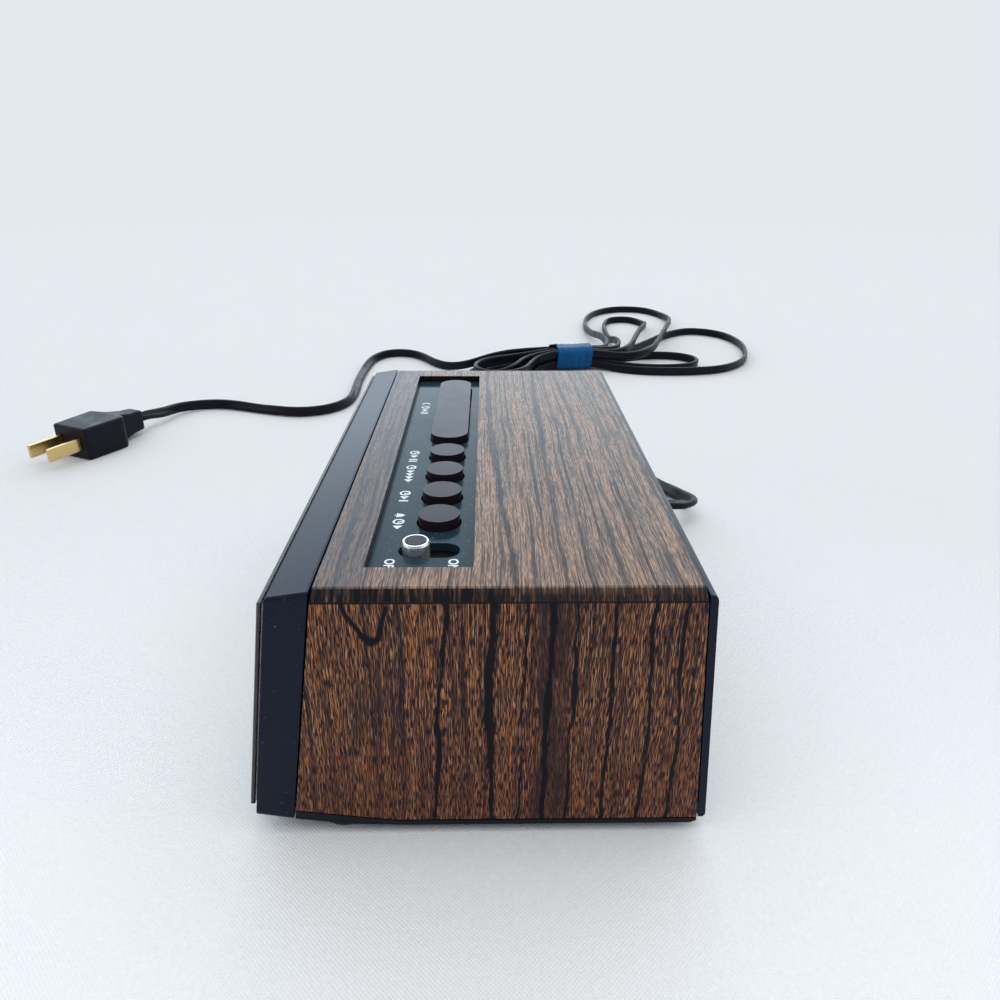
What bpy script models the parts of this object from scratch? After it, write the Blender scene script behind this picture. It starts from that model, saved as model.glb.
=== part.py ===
"""Electronic alarm clock: wood-grain wrap, control plate with its keys, and a tied flat lead.

Metres, +Z up. The origin is at the bottom centre of the case: -Y is the display side,
+Y the back, and +X the end beside the alarm switch.
"""
import math

import bmesh
import bpy
import numpy as np
from mathutils import Matrix, Vector

# Case
CASE_LENGTH = 0.160
CASE_DEPTH = 0.0997
CASE_TOP = 0.06242
FLOOR_GAP = 0.0024
FRONT_LEAN = math.radians(8.7)
REAR_LEAN = math.radians(4.1)
SEAT_GAP = 0.0003
OVERRUN = 0.010

# Wood-grain wrap
WRAP_WALL = 0.00185
WRAP_BOTTOM = 0.0040
WRAP_FOLD = 0.0023
WRAP_TOE_RISE = 0.0030
WRAP_TOE_LENGTH = 0.0215
CUTOUT_END_MARGIN = 0.0096
CUTOUT_FRONT_MARGIN = 0.02691
CUTOUT_DEPTH = 0.02199

# Lens and bezel
LENS_THICKNESS = 0.0010
LENS_BOTTOM = 0.00867
LENS_TOP_DROP = 0.00229
BEZEL_DEPTH = 0.0083
BEZEL_WALL = 0.0025
BEZEL_TOP_DROP = 0.00132
BEZEL_TOE_Z = 0.00584
BEZEL_EDGE = 0.0006
WINDOW_END_MARGIN = 0.025
WINDOW_BOTTOM_MARGIN = 0.0113
WINDOW_TOP_MARGIN = 0.00976

# Rear cover
REAR_WALL = 0.0016
REAR_TOP_DROP = 0.0008
REAR_EDGE = 0.0012
REAR_BOTTOM = 0.0042
REAR_VENTS = 9
REAR_VENT_LENGTH = 0.022
REAR_VENT_WIDTH = 0.0018
REAR_VENT_PITCH = 0.0046
REAR_VENT_DROP = 0.02242

# Base
BASE_FLOOR = 0.0013
BASE_TOE_LENGTH = 0.024
BASE_RIB_WALL = 0.0016
BASE_RIB_HEIGHT = 0.0035
BASE_SLOTS = 6
BASE_SLOT_LENGTH = 0.024
BASE_SLOT_WIDTH = 0.0018
BASE_SLOT_PITCH = 0.0045
POST_RADIUS = 0.0032

# Feet
FOOT_RADIUS = 0.0065
FOOT_END_INSET = 0.0085
FOOT_FRONT_INSET = 0.01935
FOOT_REAR_INSET = 0.01335
FOOT_PAD_MARGIN = 0.0008

# Case screws
SCREW_END_INSET = 0.0245
SCREW_INSET_FRONT = 0.0060
SCREW_INSET_REAR = 0.0050
SCREW_HEAD_RADIUS = 0.0030
SCREW_HEAD_HEIGHT = 0.0014
SCREW_SHANK_RADIUS = 0.0015
SCREW_LENGTH = 0.0072
LUG_WIDTH = 0.009
LUG_LENGTH = 0.0085
LUG_HEIGHT = 0.0055

# Control plate and keys
PLATE_THICKNESS = 0.0020
PLATE_MARGIN_X = 0.0026
PLATE_MARGIN_Y = 0.0028
PLATE_POST_LENGTH = 0.0090
KEY_RADIUS = 0.0048
KEY_RISE = 0.00018
KEY_EDGE = 0.00035
KEY_CLEARANCE = 0.0004
KEY_FLANGE = 0.0012
KEY_FLANGE_THICKNESS = 0.0010
KEY_ROW_INSET = 0.01365
KEY_PITCH = 0.01352
KEY_ROW_END = 0.02446
KEY_TRAVEL = 0.0010
KEY_NAMES = ("alarm_set_button", "time_set_button", "fast_set_button", "slow_set_button")
SNOOZE_SPACE = 0.00468
SNOOZE_END_SPACE = 0.0060
SNOOZE_WIDTH = 0.0108
SNOOZE_CORNER = 0.0050
SNOOZE_STEM_INSET = 0.01215
STEM_RADIUS = 0.0015
STEM_ENGAGEMENT = 0.0023

# Alarm switch
KNOB_RADIUS = 0.0030
KNOB_RISE = 0.00028
KNOB_END_INSET = 0.0109
KNOB_INSET = 0.00949
KNOB_TRAVEL = 0.0056
KNOB_EDGE = 0.0005
INSERT_RADIUS = 0.00215
INSERT_THICKNESS = 0.0007
SLOT_END_CLEARANCE = 0.00083
SLIDER_THICKNESS = 0.0010
SLIDER_WIDTH = 0.0084
LUG_SIDE = 0.0030

# Boards and what they carry
BOARD_THICKNESS = 0.0016
SWITCH_SIDE = 0.0064
SWITCH_HEIGHT = 0.0050
SLIDE_BODY_WIDTH = 0.0070
MAIN_BOARD_Z = 0.0100
MAIN_BOARD_END_SPACE = 0.045
MAIN_BOARD_SIDE_SPACE = 0.02285
MAIN_BOARD_Y = 0.006
CHIP_LENGTH = 0.036
CHIP_WIDTH = 0.0135
CHIP_HEIGHT = 0.0040
CHIP_EDGE_SPACE = 0.0050
CAPACITOR_RADIUS = 0.0065
CAPACITOR_HEIGHT = 0.021
DIGITS_MARGIN_X = 0.0030
DIGITS_MARGIN_Z = 0.0025
DIGITS_DEPTH = 0.0050
DISPLAY_BOARD_OVERHANG_X = 0.0070
DISPLAY_BOARD_OVERHANG_Z = 0.0035

# Transformer and sounder
CORE_END_INSET = 0.0235
CORE_Y = 0.012
CORE_LENGTH = 0.036
CORE_DEPTH = 0.015
CORE_HEIGHT = 0.030
CORE_LIMB = 0.012
CORE_WINDOW = 0.0062
COIL_OVERHANG = 0.0060
SPEAKER_END_INSET = 0.024
SPEAKER_Y = 0.012
SPEAKER_RADIUS = 0.018
SPEAKER_RIM = 0.0020
SPEAKER_MAGNET_RADIUS = 0.0105
SPEAKER_CONE_HEIGHT = 0.0080
SPEAKER_MAGNET_HEIGHT = 0.0060

# Lead
CORD_DIAMETER = 0.0056
CORD_FLOOR_GAP = 0.0002
CORD_STEP_DIAMETERS = 2.4
RELIEF_END_INSET = 0.011
RELIEF_Z = 0.0105
RELIEF_NECK_RADIUS = 0.0034
RELIEF_COLLAR_RADIUS = 0.0052
RELIEF_SLEEVE_RADIUS = 0.0045
RELIEF_END_RADIUS = 0.0034
RELIEF_COLLAR = 0.0030
RELIEF_LENGTH = 0.0200
RELIEF_FLANGE = 0.0016

# Hank
WAIST_X = -0.316
WAIST_Y = 0.060
WAIST_TURN = math.radians(8)
WAIST_HALF = 0.014
WAIST_KNOT_SHARES = (-1, -0.4, 0.4, 1)
WAIST_COLUMN = 0.0070
LAYER_RISE = 0.0068
CLIMB_START_SHARE = 0.32
CLIMB_END_SHARE = 0.68
DIP_START_SHARE = 0.32
DIP_LOW_SHARE = 0.42
RISE_START_SHARE = 0.78
RISE_END_SHARE = 0.88
SPINE_RADIUS = 0.034
SPINE_TURN = math.radians(38)
HANK_LOOPS = 4
POINTS_PER_LOOP = 24
HANK_END_POINTS = 16
BEND_WEIGHT = 0.030
GAP_SAMPLES = 6
GAP_REACH_DIAMETERS = 4
PLUG_STRAIGHT_DIAMETERS = 3
TIE_WALL = 0.0010
TIE_LENGTH = 0.020
TIE_CLEARANCE = 0.0009
TIE_CORNER = 0.0042

# Plug
PLUG_LENGTH = 0.026
PLUG_WIDTH = 0.024
PLUG_HEIGHT = 0.016
PLUG_NECK_LENGTH = 0.014
PLUG_NECK_WIDTH = 0.0090
PLUG_EDGE = 0.0022
PLUG_HEADING = math.radians(-25)
BLADE_LENGTH = 0.0175
BLADE_HEIGHT = 0.0063
BLADE_THICKNESS = 0.0015
BLADE_SPACING = 0.0127
BLADE_ROOT = 0.0040

# Sizes that follow from those above
HALF_LENGTH = CASE_LENGTH / 2
HALF_DEPTH = CASE_DEPTH / 2
CUTOUT_LENGTH = CASE_LENGTH - 2 * CUTOUT_END_MARGIN
CUTOUT_FRONT = CUTOUT_FRONT_MARGIN - HALF_DEPTH
CUTOUT_REAR = CUTOUT_FRONT + CUTOUT_DEPTH
LENS_TOP = CASE_TOP - LENS_TOP_DROP
LENS_SPAN = (LENS_TOP - LENS_BOTTOM) / math.cos(FRONT_LEAN)
WINDOW_LENGTH = CASE_LENGTH - 2 * WINDOW_END_MARGIN
WINDOW_HEIGHT = LENS_SPAN - WINDOW_BOTTOM_MARGIN - WINDOW_TOP_MARGIN
WINDOW_CENTRE = WINDOW_BOTTOM_MARGIN + WINDOW_HEIGHT / 2
DIGITS_LENGTH = WINDOW_LENGTH - 2 * DIGITS_MARGIN_X
DIGITS_HEIGHT = WINDOW_HEIGHT - 2 * DIGITS_MARGIN_Z
DISPLAY_BOARD_LENGTH = WINDOW_LENGTH + 2 * DISPLAY_BOARD_OVERHANG_X
DISPLAY_BOARD_HEIGHT = WINDOW_HEIGHT + 2 * DISPLAY_BOARD_OVERHANG_Z
FOOT_X = HALF_LENGTH - FOOT_END_INSET
FOOT_FRONT_Y = FOOT_FRONT_INSET - HALF_DEPTH
FOOT_REAR_Y = HALF_DEPTH - FOOT_REAR_INSET
SCREW_X = HALF_LENGTH - SCREW_END_INSET
KEY_Y = CUTOUT_FRONT + KEY_ROW_INSET
KEY_FIRST_X = CUTOUT_LENGTH / 2 - KEY_ROW_END
KEY_LAST_X = KEY_FIRST_X - (len(KEY_NAMES) - 1) * KEY_PITCH
SNOOZE_NEAR = KEY_LAST_X - KEY_RADIUS - SNOOZE_SPACE
SNOOZE_FAR = SNOOZE_END_SPACE - CUTOUT_LENGTH / 2
SNOOZE_LENGTH = SNOOZE_NEAR - SNOOZE_FAR
SNOOZE_X = (SNOOZE_NEAR + SNOOZE_FAR) / 2
SNOOZE_STEM_SPREAD = SNOOZE_LENGTH - 2 * SNOOZE_STEM_INSET
KNOB_X = CUTOUT_LENGTH / 2 - KNOB_END_INSET
KNOB_Y = CUTOUT_FRONT + KNOB_INSET
SLOT_FRONT = KNOB_Y - KNOB_RADIUS - SLOT_END_CLEARANCE
SLOT_REAR = KNOB_Y + KNOB_TRAVEL + KNOB_RADIUS + SLOT_END_CLEARANCE
MAIN_BOARD_LENGTH = CASE_LENGTH - 2 * MAIN_BOARD_END_SPACE
MAIN_BOARD_DEPTH = CASE_DEPTH - 2 * MAIN_BOARD_SIDE_SPACE
REAR_VENT_Z = CASE_TOP - REAR_VENT_DROP
CORE_X = CORE_END_INSET - HALF_LENGTH
SPEAKER_X = HALF_LENGTH - SPEAKER_END_INSET
RELIEF_X = RELIEF_END_INSET - HALF_LENGTH
PLATE_TOP = CASE_TOP - WRAP_WALL - SEAT_GAP
PLATE_BOTTOM = PLATE_TOP - PLATE_THICKNESS
FLANGE_TOP = PLATE_BOTTOM - SEAT_GAP
FLANGE_BOTTOM = FLANGE_TOP - KEY_FLANGE_THICKNESS
KEY_BOARD_TOP = PLATE_BOTTOM - PLATE_POST_LENGTH - SEAT_GAP
SWITCH_BOTTOM = KEY_BOARD_TOP + SEAT_GAP
SWITCH_TOP = SWITCH_BOTTOM + SWITCH_HEIGHT
KEY_TOP = CASE_TOP + KEY_RISE
BASE_TOP = WRAP_BOTTOM - SEAT_GAP
MAIN_BOARD_TOP = MAIN_BOARD_Z + BOARD_THICKNESS
WRAP_FRONT_SHIFT = LENS_THICKNESS + SEAT_GAP + BEZEL_DEPTH + SEAT_GAP
CORD_Z = CORD_DIAMETER / 2 + CORD_FLOOR_GAP
WAIST_RISE = TIE_WALL + TIE_CLEARANCE - CORD_FLOOR_GAP


def clear_scene():
    for item in list(bpy.data.objects):
        bpy.data.objects.remove(item, do_unlink=True)


def new_collection(name, hidden=False):
    group = bpy.data.collections.new(name)
    bpy.context.scene.collection.children.link(group)
    group.hide_render = hidden
    return group


clear_scene()
CLOCK = new_collection("electronic_alarm_clock")
CUTTERS = new_collection("cutters", hidden=True)


def finish(name, colour, roughness, metallic=0.0):
    """A Principled material with the piece's colour."""
    material = bpy.data.materials.new(name)
    material.use_nodes = True
    shader = material.node_tree.nodes["Principled BSDF"]
    shader.inputs["Base Color"].default_value = (*colour, 1.0)
    shader.inputs["Roughness"].default_value = roughness
    shader.inputs["Metallic"].default_value = metallic
    material.diffuse_color = (*colour, 1.0)
    return material


def add_mesh(name, mesh_data, material=None, group=CLOCK):
    """Link a mesh made in bmesh as an object."""
    mesh = bpy.data.meshes.new(name)
    mesh_data.normal_update()
    mesh_data.to_mesh(mesh)
    mesh_data.free()
    item = bpy.data.objects.new(name, mesh)
    group.objects.link(item)
    if material:
        mesh.materials.append(material)
    return item


def add_cutter(name, mesh_data):
    """A hidden solid that a Boolean modifier reads."""
    item = add_mesh(name, mesh_data, group=CUTTERS)
    item.hide_render = True
    item.display_type = "WIRE"
    return item


def block(low, high):
    """A box between two corners."""
    shape = bmesh.new()
    bmesh.ops.create_cube(shape, size=1.0)
    size = Vector(high) - Vector(low)
    bmesh.ops.scale(shape, vec=size, verts=shape.verts)
    bmesh.ops.translate(shape, vec=(Vector(high) + Vector(low)) / 2, verts=shape.verts)
    return shape


def cylinder(x, y, low, high, radius, segments=32):
    """An upright cylinder between two heights."""
    shape = bmesh.new()
    bmesh.ops.create_cone(
        shape, cap_ends=True, segments=segments, radius1=radius, radius2=radius, depth=high - low)
    bmesh.ops.translate(shape, vec=(x, y, (low + high) / 2), verts=shape.verts)
    return shape


def merged(shapes):
    """Several separate solids in one mesh."""
    whole = bmesh.new()
    for shape in shapes:
        scratch = bpy.data.meshes.new("scratch")
        shape.to_mesh(scratch)
        shape.free()
        whole.from_mesh(scratch)
        bpy.data.meshes.remove(scratch)
    return whole


def extruded(outline, low, high, along):
    """A flat outline drawn as a filled 2D curve and drawn out along X, Y or Z."""
    curve = bpy.data.curves.new("outline", "CURVE")
    curve.dimensions = "2D"
    curve.fill_mode = "BOTH"
    curve.extrude = (high - low) / 2
    spline = curve.splines.new("POLY")
    spline.points.add(len(outline) - 1)
    for point, (a, b) in zip(spline.points, outline):
        point.co = (a, b, 0.0, 1.0)
    spline.use_cyclic_u = True
    guide = bpy.data.objects.new("outline", curve)
    CUTTERS.objects.link(guide)
    middle = (high + low) / 2
    frames = {
        "X": Matrix(((0, 0, 1, middle), (1, 0, 0, 0), (0, 1, 0, 0), (0, 0, 0, 1))),
        "Y": Matrix(((1, 0, 0, 0), (0, 0, -1, middle), (0, 1, 0, 0), (0, 0, 0, 1))),
        "Z": Matrix.Translation((0, 0, middle)),
    }
    bpy.context.view_layer.update()
    graph = bpy.context.evaluated_depsgraph_get()
    mesh = bpy.data.meshes.new_from_object(guide.evaluated_get(graph))
    shape = bmesh.new()
    shape.from_mesh(mesh)
    bmesh.ops.remove_doubles(shape, verts=shape.verts, dist=CORD_FLOOR_GAP / 100)
    shape.transform(frames[along])
    bmesh.ops.recalc_face_normals(shape, faces=shape.faces)
    bpy.data.objects.remove(guide, do_unlink=True)
    bpy.data.curves.remove(curve)
    bpy.data.meshes.remove(mesh)
    return shape


def rounded_rectangle(length, width, corner, steps=6):
    """Outline of a rectangle with round corners, counted anticlockwise."""
    outline = []
    for quarter in range(4):
        angle = quarter * math.pi / 2
        sign_x = 1 if quarter in (0, 3) else -1
        sign_y = 1 if quarter in (0, 1) else -1
        centre = (sign_x * (length / 2 - corner), sign_y * (width / 2 - corner))
        for step in range(steps + 1):
            turn = angle + step / steps * math.pi / 2
            outline.append((centre[0] + corner * math.cos(turn), centre[1] + corner * math.sin(turn)))
    return outline


def shifted(outline, x, y):
    return [(a + x, b + y) for a, b in outline]


def boolean(item, cutter, operation="DIFFERENCE"):
    modifier = item.modifiers.new(operation.lower(), "BOOLEAN")
    modifier.operation = operation
    modifier.solver = "EXACT"
    modifier.object = cutter


def bevel(item, width, segments=2, angle=35):
    modifier = item.modifiers.new("edges", "BEVEL")
    modifier.width = width
    modifier.segments = segments
    modifier.limit_method = "ANGLE"
    modifier.angle_limit = math.radians(angle)


def smooth(item, angle=40):
    item.data.shade_smooth()
    item.data.set_sharp_from_angle(angle=math.radians(angle))


def turned(name, profile, material, segments=32):
    """A closed profile of radius and height, turned round Z from its outer side down."""
    shape = bmesh.new()
    corners = [shape.verts.new((radius, 0.0, height)) for radius, height in profile]
    for first, second in zip(corners, corners[1:]):
        shape.edges.new((first, second))
    item = add_mesh(name, shape, material)
    screw = item.modifiers.new("turn", "SCREW")
    screw.axis = "Z"
    screw.steps = segments
    screw.render_steps = segments
    screw.use_merge_vertices = True
    screw.merge_threshold = CORD_FLOOR_GAP / 10
    screw.use_smooth_shade = True
    return item


# Finishes
BLACK_PLASTIC = finish("black_plastic", (0.012, 0.013, 0.016), 0.38)
LENS_PLASTIC = finish("smoked_lens", (0.010, 0.011, 0.014), 0.12)
PLATE_PLASTIC = finish("glossy_plate", (0.012, 0.022, 0.026), 0.16)
KEY_PLASTIC = finish("key_plastic", (0.030, 0.022, 0.024), 0.32)
WOOD_FOIL = finish("wood_grain_foil", (0.34, 0.13, 0.045), 0.34)
BRIGHT_METAL = finish("bright_metal", (0.80, 0.79, 0.77), 0.10, 1.0)
RUBBER = finish("rubber", (0.020, 0.020, 0.020), 0.80)
STEEL = finish("steel", (0.50, 0.50, 0.52), 0.35, 1.0)
BOARD = finish("circuit_board", (0.22, 0.16, 0.06), 0.55)
PACKAGE = finish("component_black", (0.02, 0.02, 0.02), 0.50)
SLEEVE_BLUE = finish("capacitor_sleeve", (0.04, 0.07, 0.20), 0.40)
COPPER = finish("copper_winding", (0.55, 0.22, 0.08), 0.40, 0.6)
CORD_PLASTIC = finish("cord_plastic", (0.014, 0.014, 0.016), 0.42)
TIE_BLUE = finish("tie_blue", (0.02, 0.10, 0.36), 0.45)
BRASS = finish("brass", (0.72, 0.52, 0.22), 0.28, 1.0)


# Slanted planes of the case
def front_y(height, behind=0.0):
    """Y of a plane that leans with the front, at a distance behind the lens face."""
    return -HALF_DEPTH + (height - LENS_BOTTOM) * math.tan(FRONT_LEAN) + behind / math.cos(FRONT_LEAN)


def rear_y(height, inside=0.0):
    """Y of a plane that leans with the back, at a distance inside the rear face."""
    return HALF_DEPTH - (height - BEZEL_TOE_Z) * math.tan(REAR_LEAN) - inside / math.cos(REAR_LEAN)


def wrap_nose():
    """Front lower corner of the wrap's ends."""
    height = WRAP_BOTTOM + WRAP_TOE_RISE
    return front_y(height, WRAP_FRONT_SHIFT), height


def make_cabinet_shell():
    """Folded sheet over the top and both ends, trimmed to the case's end outline."""
    path = (
        (HALF_LENGTH, 0.0),
        (HALF_LENGTH, CASE_TOP - WRAP_FOLD),
        (HALF_LENGTH - WRAP_FOLD, CASE_TOP),
        (-HALF_LENGTH + WRAP_FOLD, CASE_TOP),
        (-HALF_LENGTH, CASE_TOP - WRAP_FOLD),
        (-HALF_LENGTH, 0.0),
    )
    shape = bmesh.new()
    front = [shape.verts.new((x, -CASE_DEPTH, z)) for x, z in path]
    back = [shape.verts.new((x, CASE_DEPTH, z)) for x, z in path]
    for index in range(len(path) - 1):
        shape.faces.new((front[index], front[index + 1], back[index + 1], back[index]))
    bmesh.ops.recalc_face_normals(shape, faces=shape.faces)
    shape.normal_update()
    top = max(shape.faces, key=lambda face: face.calc_center_median().z)
    if top.normal.z < 0:
        bmesh.ops.reverse_faces(shape, faces=shape.faces)
    shell = add_mesh("cabinet_shell", shape, WOOD_FOIL)
    wall = shell.modifiers.new("wall", "SOLIDIFY")
    wall.thickness = WRAP_WALL
    wall.offset = -1
    wall.use_even_offset = True

    nose_y, nose_z = wrap_nose()
    rear_bottom = rear_y(WRAP_BOTTOM, REAR_WALL + SEAT_GAP)
    above = CASE_TOP + OVERRUN
    end_outline = (
        (nose_y, nose_z),
        (nose_y + WRAP_TOE_LENGTH, WRAP_BOTTOM),
        (rear_bottom, WRAP_BOTTOM),
        (rear_y(above, REAR_WALL + SEAT_GAP), above),
        (front_y(above, WRAP_FRONT_SHIFT), above),
    )
    trim = add_cutter("wrap_trim", extruded(end_outline, -CASE_LENGTH, CASE_LENGTH, "X"))
    boolean(shell, trim, "INTERSECT")
    window = add_cutter("control_cutout", block(
        (-CUTOUT_LENGTH / 2, CUTOUT_FRONT, CASE_TOP - WRAP_WALL - OVERRUN),
        (CUTOUT_LENGTH / 2, CUTOUT_REAR, CASE_TOP + OVERRUN)))
    boolean(shell, window)
    return shell


def leaned(shape):
    """Turn a shape drawn behind an upright lens so that it leans with the front."""
    shape.transform(
        Matrix.Translation((0, -HALF_DEPTH, LENS_BOTTOM)) @ Matrix.Rotation(-FRONT_LEAN, 4, "X"))
    return shape


def make_display_lens():
    """Thin dark window over the whole front."""
    half = HALF_LENGTH - SEAT_GAP
    lens = add_mesh(
        "display_lens", leaned(block((-half, 0, 0), (half, LENS_THICKNESS, LENS_SPAN))), LENS_PLASTIC)
    bevel(lens, LENS_THICKNESS / 4, 1)
    return lens


def screw_places():
    """Where the four case screws stand, with the side that each is on."""
    front = front_y(WRAP_BOTTOM, WRAP_FRONT_SHIFT) + SCREW_INSET_FRONT
    rear = rear_y(WRAP_BOTTOM, REAR_WALL) - SCREW_INSET_REAR
    return [(side * SCREW_X, y, y < 0) for side in (-1, 1) for y in (front, rear)]


def lug_bottom():
    return BASE_TOP + BASE_RIB_HEIGHT + SEAT_GAP


def make_front_bezel():
    """Moulded frame behind the lens: window, open back, posts for the display and two screw lugs."""
    face = LENS_THICKNESS + SEAT_GAP
    back = face + BEZEL_DEPTH
    top_front = CASE_TOP - BEZEL_TOP_DROP
    heel = WRAP_BOTTOM + SEAT_GAP
    outline = (
        (front_y(BEZEL_TOE_Z, face), BEZEL_TOE_Z),
        (front_y(heel, back), heel),
        (front_y(CASE_TOP, back), CASE_TOP),
        (front_y(top_front, face), top_front),
    )
    bezel = add_mesh("front_bezel", extruded(outline, -HALF_LENGTH, HALF_LENGTH, "X"), BLACK_PLASTIC)
    bevel(bezel, BEZEL_EDGE, 2)

    inner = HALF_LENGTH - BEZEL_WALL
    pocket_floor = face + BEZEL_WALL
    pocket = add_cutter("bezel_pocket", leaned(block(
        (-inner, pocket_floor, BEZEL_WALL), (inner, back + OVERRUN, LENS_SPAN - BEZEL_WALL))))
    boolean(bezel, pocket)
    window = add_cutter("display_window", leaned(block(
        (-WINDOW_LENGTH / 2, -OVERRUN, WINDOW_CENTRE - WINDOW_HEIGHT / 2),
        (WINDOW_LENGTH / 2, pocket_floor + OVERRUN / 2, WINDOW_CENTRE + WINDOW_HEIGHT / 2))))
    boolean(bezel, window)

    board_face = display_board_face()
    posts = []
    for x in (-1, 1):
        for z in (-1, 1):
            post = cylinder(0, 0, pocket_floor - BEZEL_WALL / 2, board_face - SEAT_GAP, POST_RADIUS, 20)
            post.transform(Matrix.Rotation(-math.pi / 2, 4, "X"))
            post.transform(Matrix.Translation((
                x * (DISPLAY_BOARD_LENGTH / 2 - POST_RADIUS), 0,
                WINDOW_CENTRE + z * (DISPLAY_BOARD_HEIGHT / 2 - POST_RADIUS))))
            posts.append(leaned(post))
    boolean(bezel, add_cutter("display_posts", merged(posts)), "UNION")

    for x, y, at_front in screw_places():
        if not at_front:
            continue
        low = lug_bottom()
        lug = add_cutter("bezel_lug", block(
            (x - LUG_WIDTH / 2, front_y(low, back) - BEZEL_WALL, low),
            (x + LUG_WIDTH / 2, front_y(low, back) + LUG_LENGTH, low + LUG_HEIGHT)))
        boolean(bezel, lug, "UNION")
        bridge = add_cutter("bezel_lug_root", block(
            (x - LUG_WIDTH / 2, front_y(low, pocket_floor) - BEZEL_WALL / 2, low),
            (x + LUG_WIDTH / 2, front_y(low, back), low + LUG_HEIGHT / 2)))
        boolean(bezel, bridge, "UNION")
        bore = add_cutter("bezel_lug_bore", cylinder(
            x, y, low - OVERRUN / 10, screw_head_top() + SCREW_LENGTH + SEAT_GAP,
            SCREW_SHANK_RADIUS + SEAT_GAP, 20))
        boolean(bezel, bore)
    return bezel


def screw_head_top():
    return FLOOR_GAP + SEAT_GAP + SCREW_HEAD_HEIGHT


def make_rear_cover():
    """Back panel with a rounded top edge, vents, the lead's outlet and two screw lugs."""
    top = CASE_TOP - REAR_TOP_DROP
    outline = [
        (rear_y(REAR_BOTTOM, REAR_WALL), REAR_BOTTOM),
        (rear_y(REAR_BOTTOM, REAR_WALL / 3), REAR_BOTTOM),
        (rear_y(REAR_BOTTOM + REAR_WALL / 2), REAR_BOTTOM + REAR_WALL / 2),
    ]
    for step in range(5):
        turn = step / 4 * math.pi / 2
        drop = REAR_EDGE * (1 - math.sin(turn))
        inset = REAR_EDGE * (1 - math.cos(turn))
        outline.append((rear_y(top - drop, inset), top - drop))
    outline.append((rear_y(top, REAR_WALL), top))
    cover = add_mesh("rear_cover", extruded(outline, -HALF_LENGTH, HALF_LENGTH, "X"), BLACK_PLASTIC)

    slots = []
    for index in range(REAR_VENTS):
        x = (index - (REAR_VENTS - 1) / 2) * REAR_VENT_PITCH
        outline = rounded_rectangle(REAR_VENT_WIDTH, REAR_VENT_LENGTH, REAR_VENT_WIDTH / 2, 3)
        slots.append(extruded(shifted(outline, x, REAR_VENT_Z), 0, CASE_DEPTH, "Y"))
    boolean(cover, add_cutter("rear_vents", merged(slots)))

    outlet = cylinder(0, 0, 0, CASE_DEPTH, RELIEF_NECK_RADIUS + SEAT_GAP, 28)
    outlet.transform(Matrix.Translation((RELIEF_X, 0, RELIEF_Z)) @ Matrix.Rotation(-math.pi / 2, 4, "X"))
    boolean(cover, add_cutter("lead_outlet", outlet))

    for x, y, at_front in screw_places():
        if at_front:
            continue
        low = lug_bottom()
        wall = rear_y(low, REAR_WALL)
        lug = add_cutter("rear_lug", block(
            (x - LUG_WIDTH / 2, wall - LUG_LENGTH, low),
            (x + LUG_WIDTH / 2, wall + REAR_WALL / 3, low + LUG_HEIGHT)))
        boolean(cover, lug, "UNION")
        bore = add_cutter("rear_lug_bore", cylinder(
            x, y, low - OVERRUN / 10, screw_head_top() + SCREW_LENGTH + SEAT_GAP,
            SCREW_SHANK_RADIUS + SEAT_GAP, 20))
        boolean(cover, bore)
    return cover


def foot_places():
    return [(side * FOOT_X, y) for side in (-1, 1) for y in (FOOT_FRONT_Y, FOOT_REAR_Y)]


def board_posts():
    """Corners of the main board where the base's posts stand."""
    x = MAIN_BOARD_LENGTH / 2 - POST_RADIUS
    y = MAIN_BOARD_DEPTH / 2 - POST_RADIUS
    return [(a * x, MAIN_BOARD_Y + b * y) for a in (-1, 1) for b in (-1, 1)]


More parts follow.
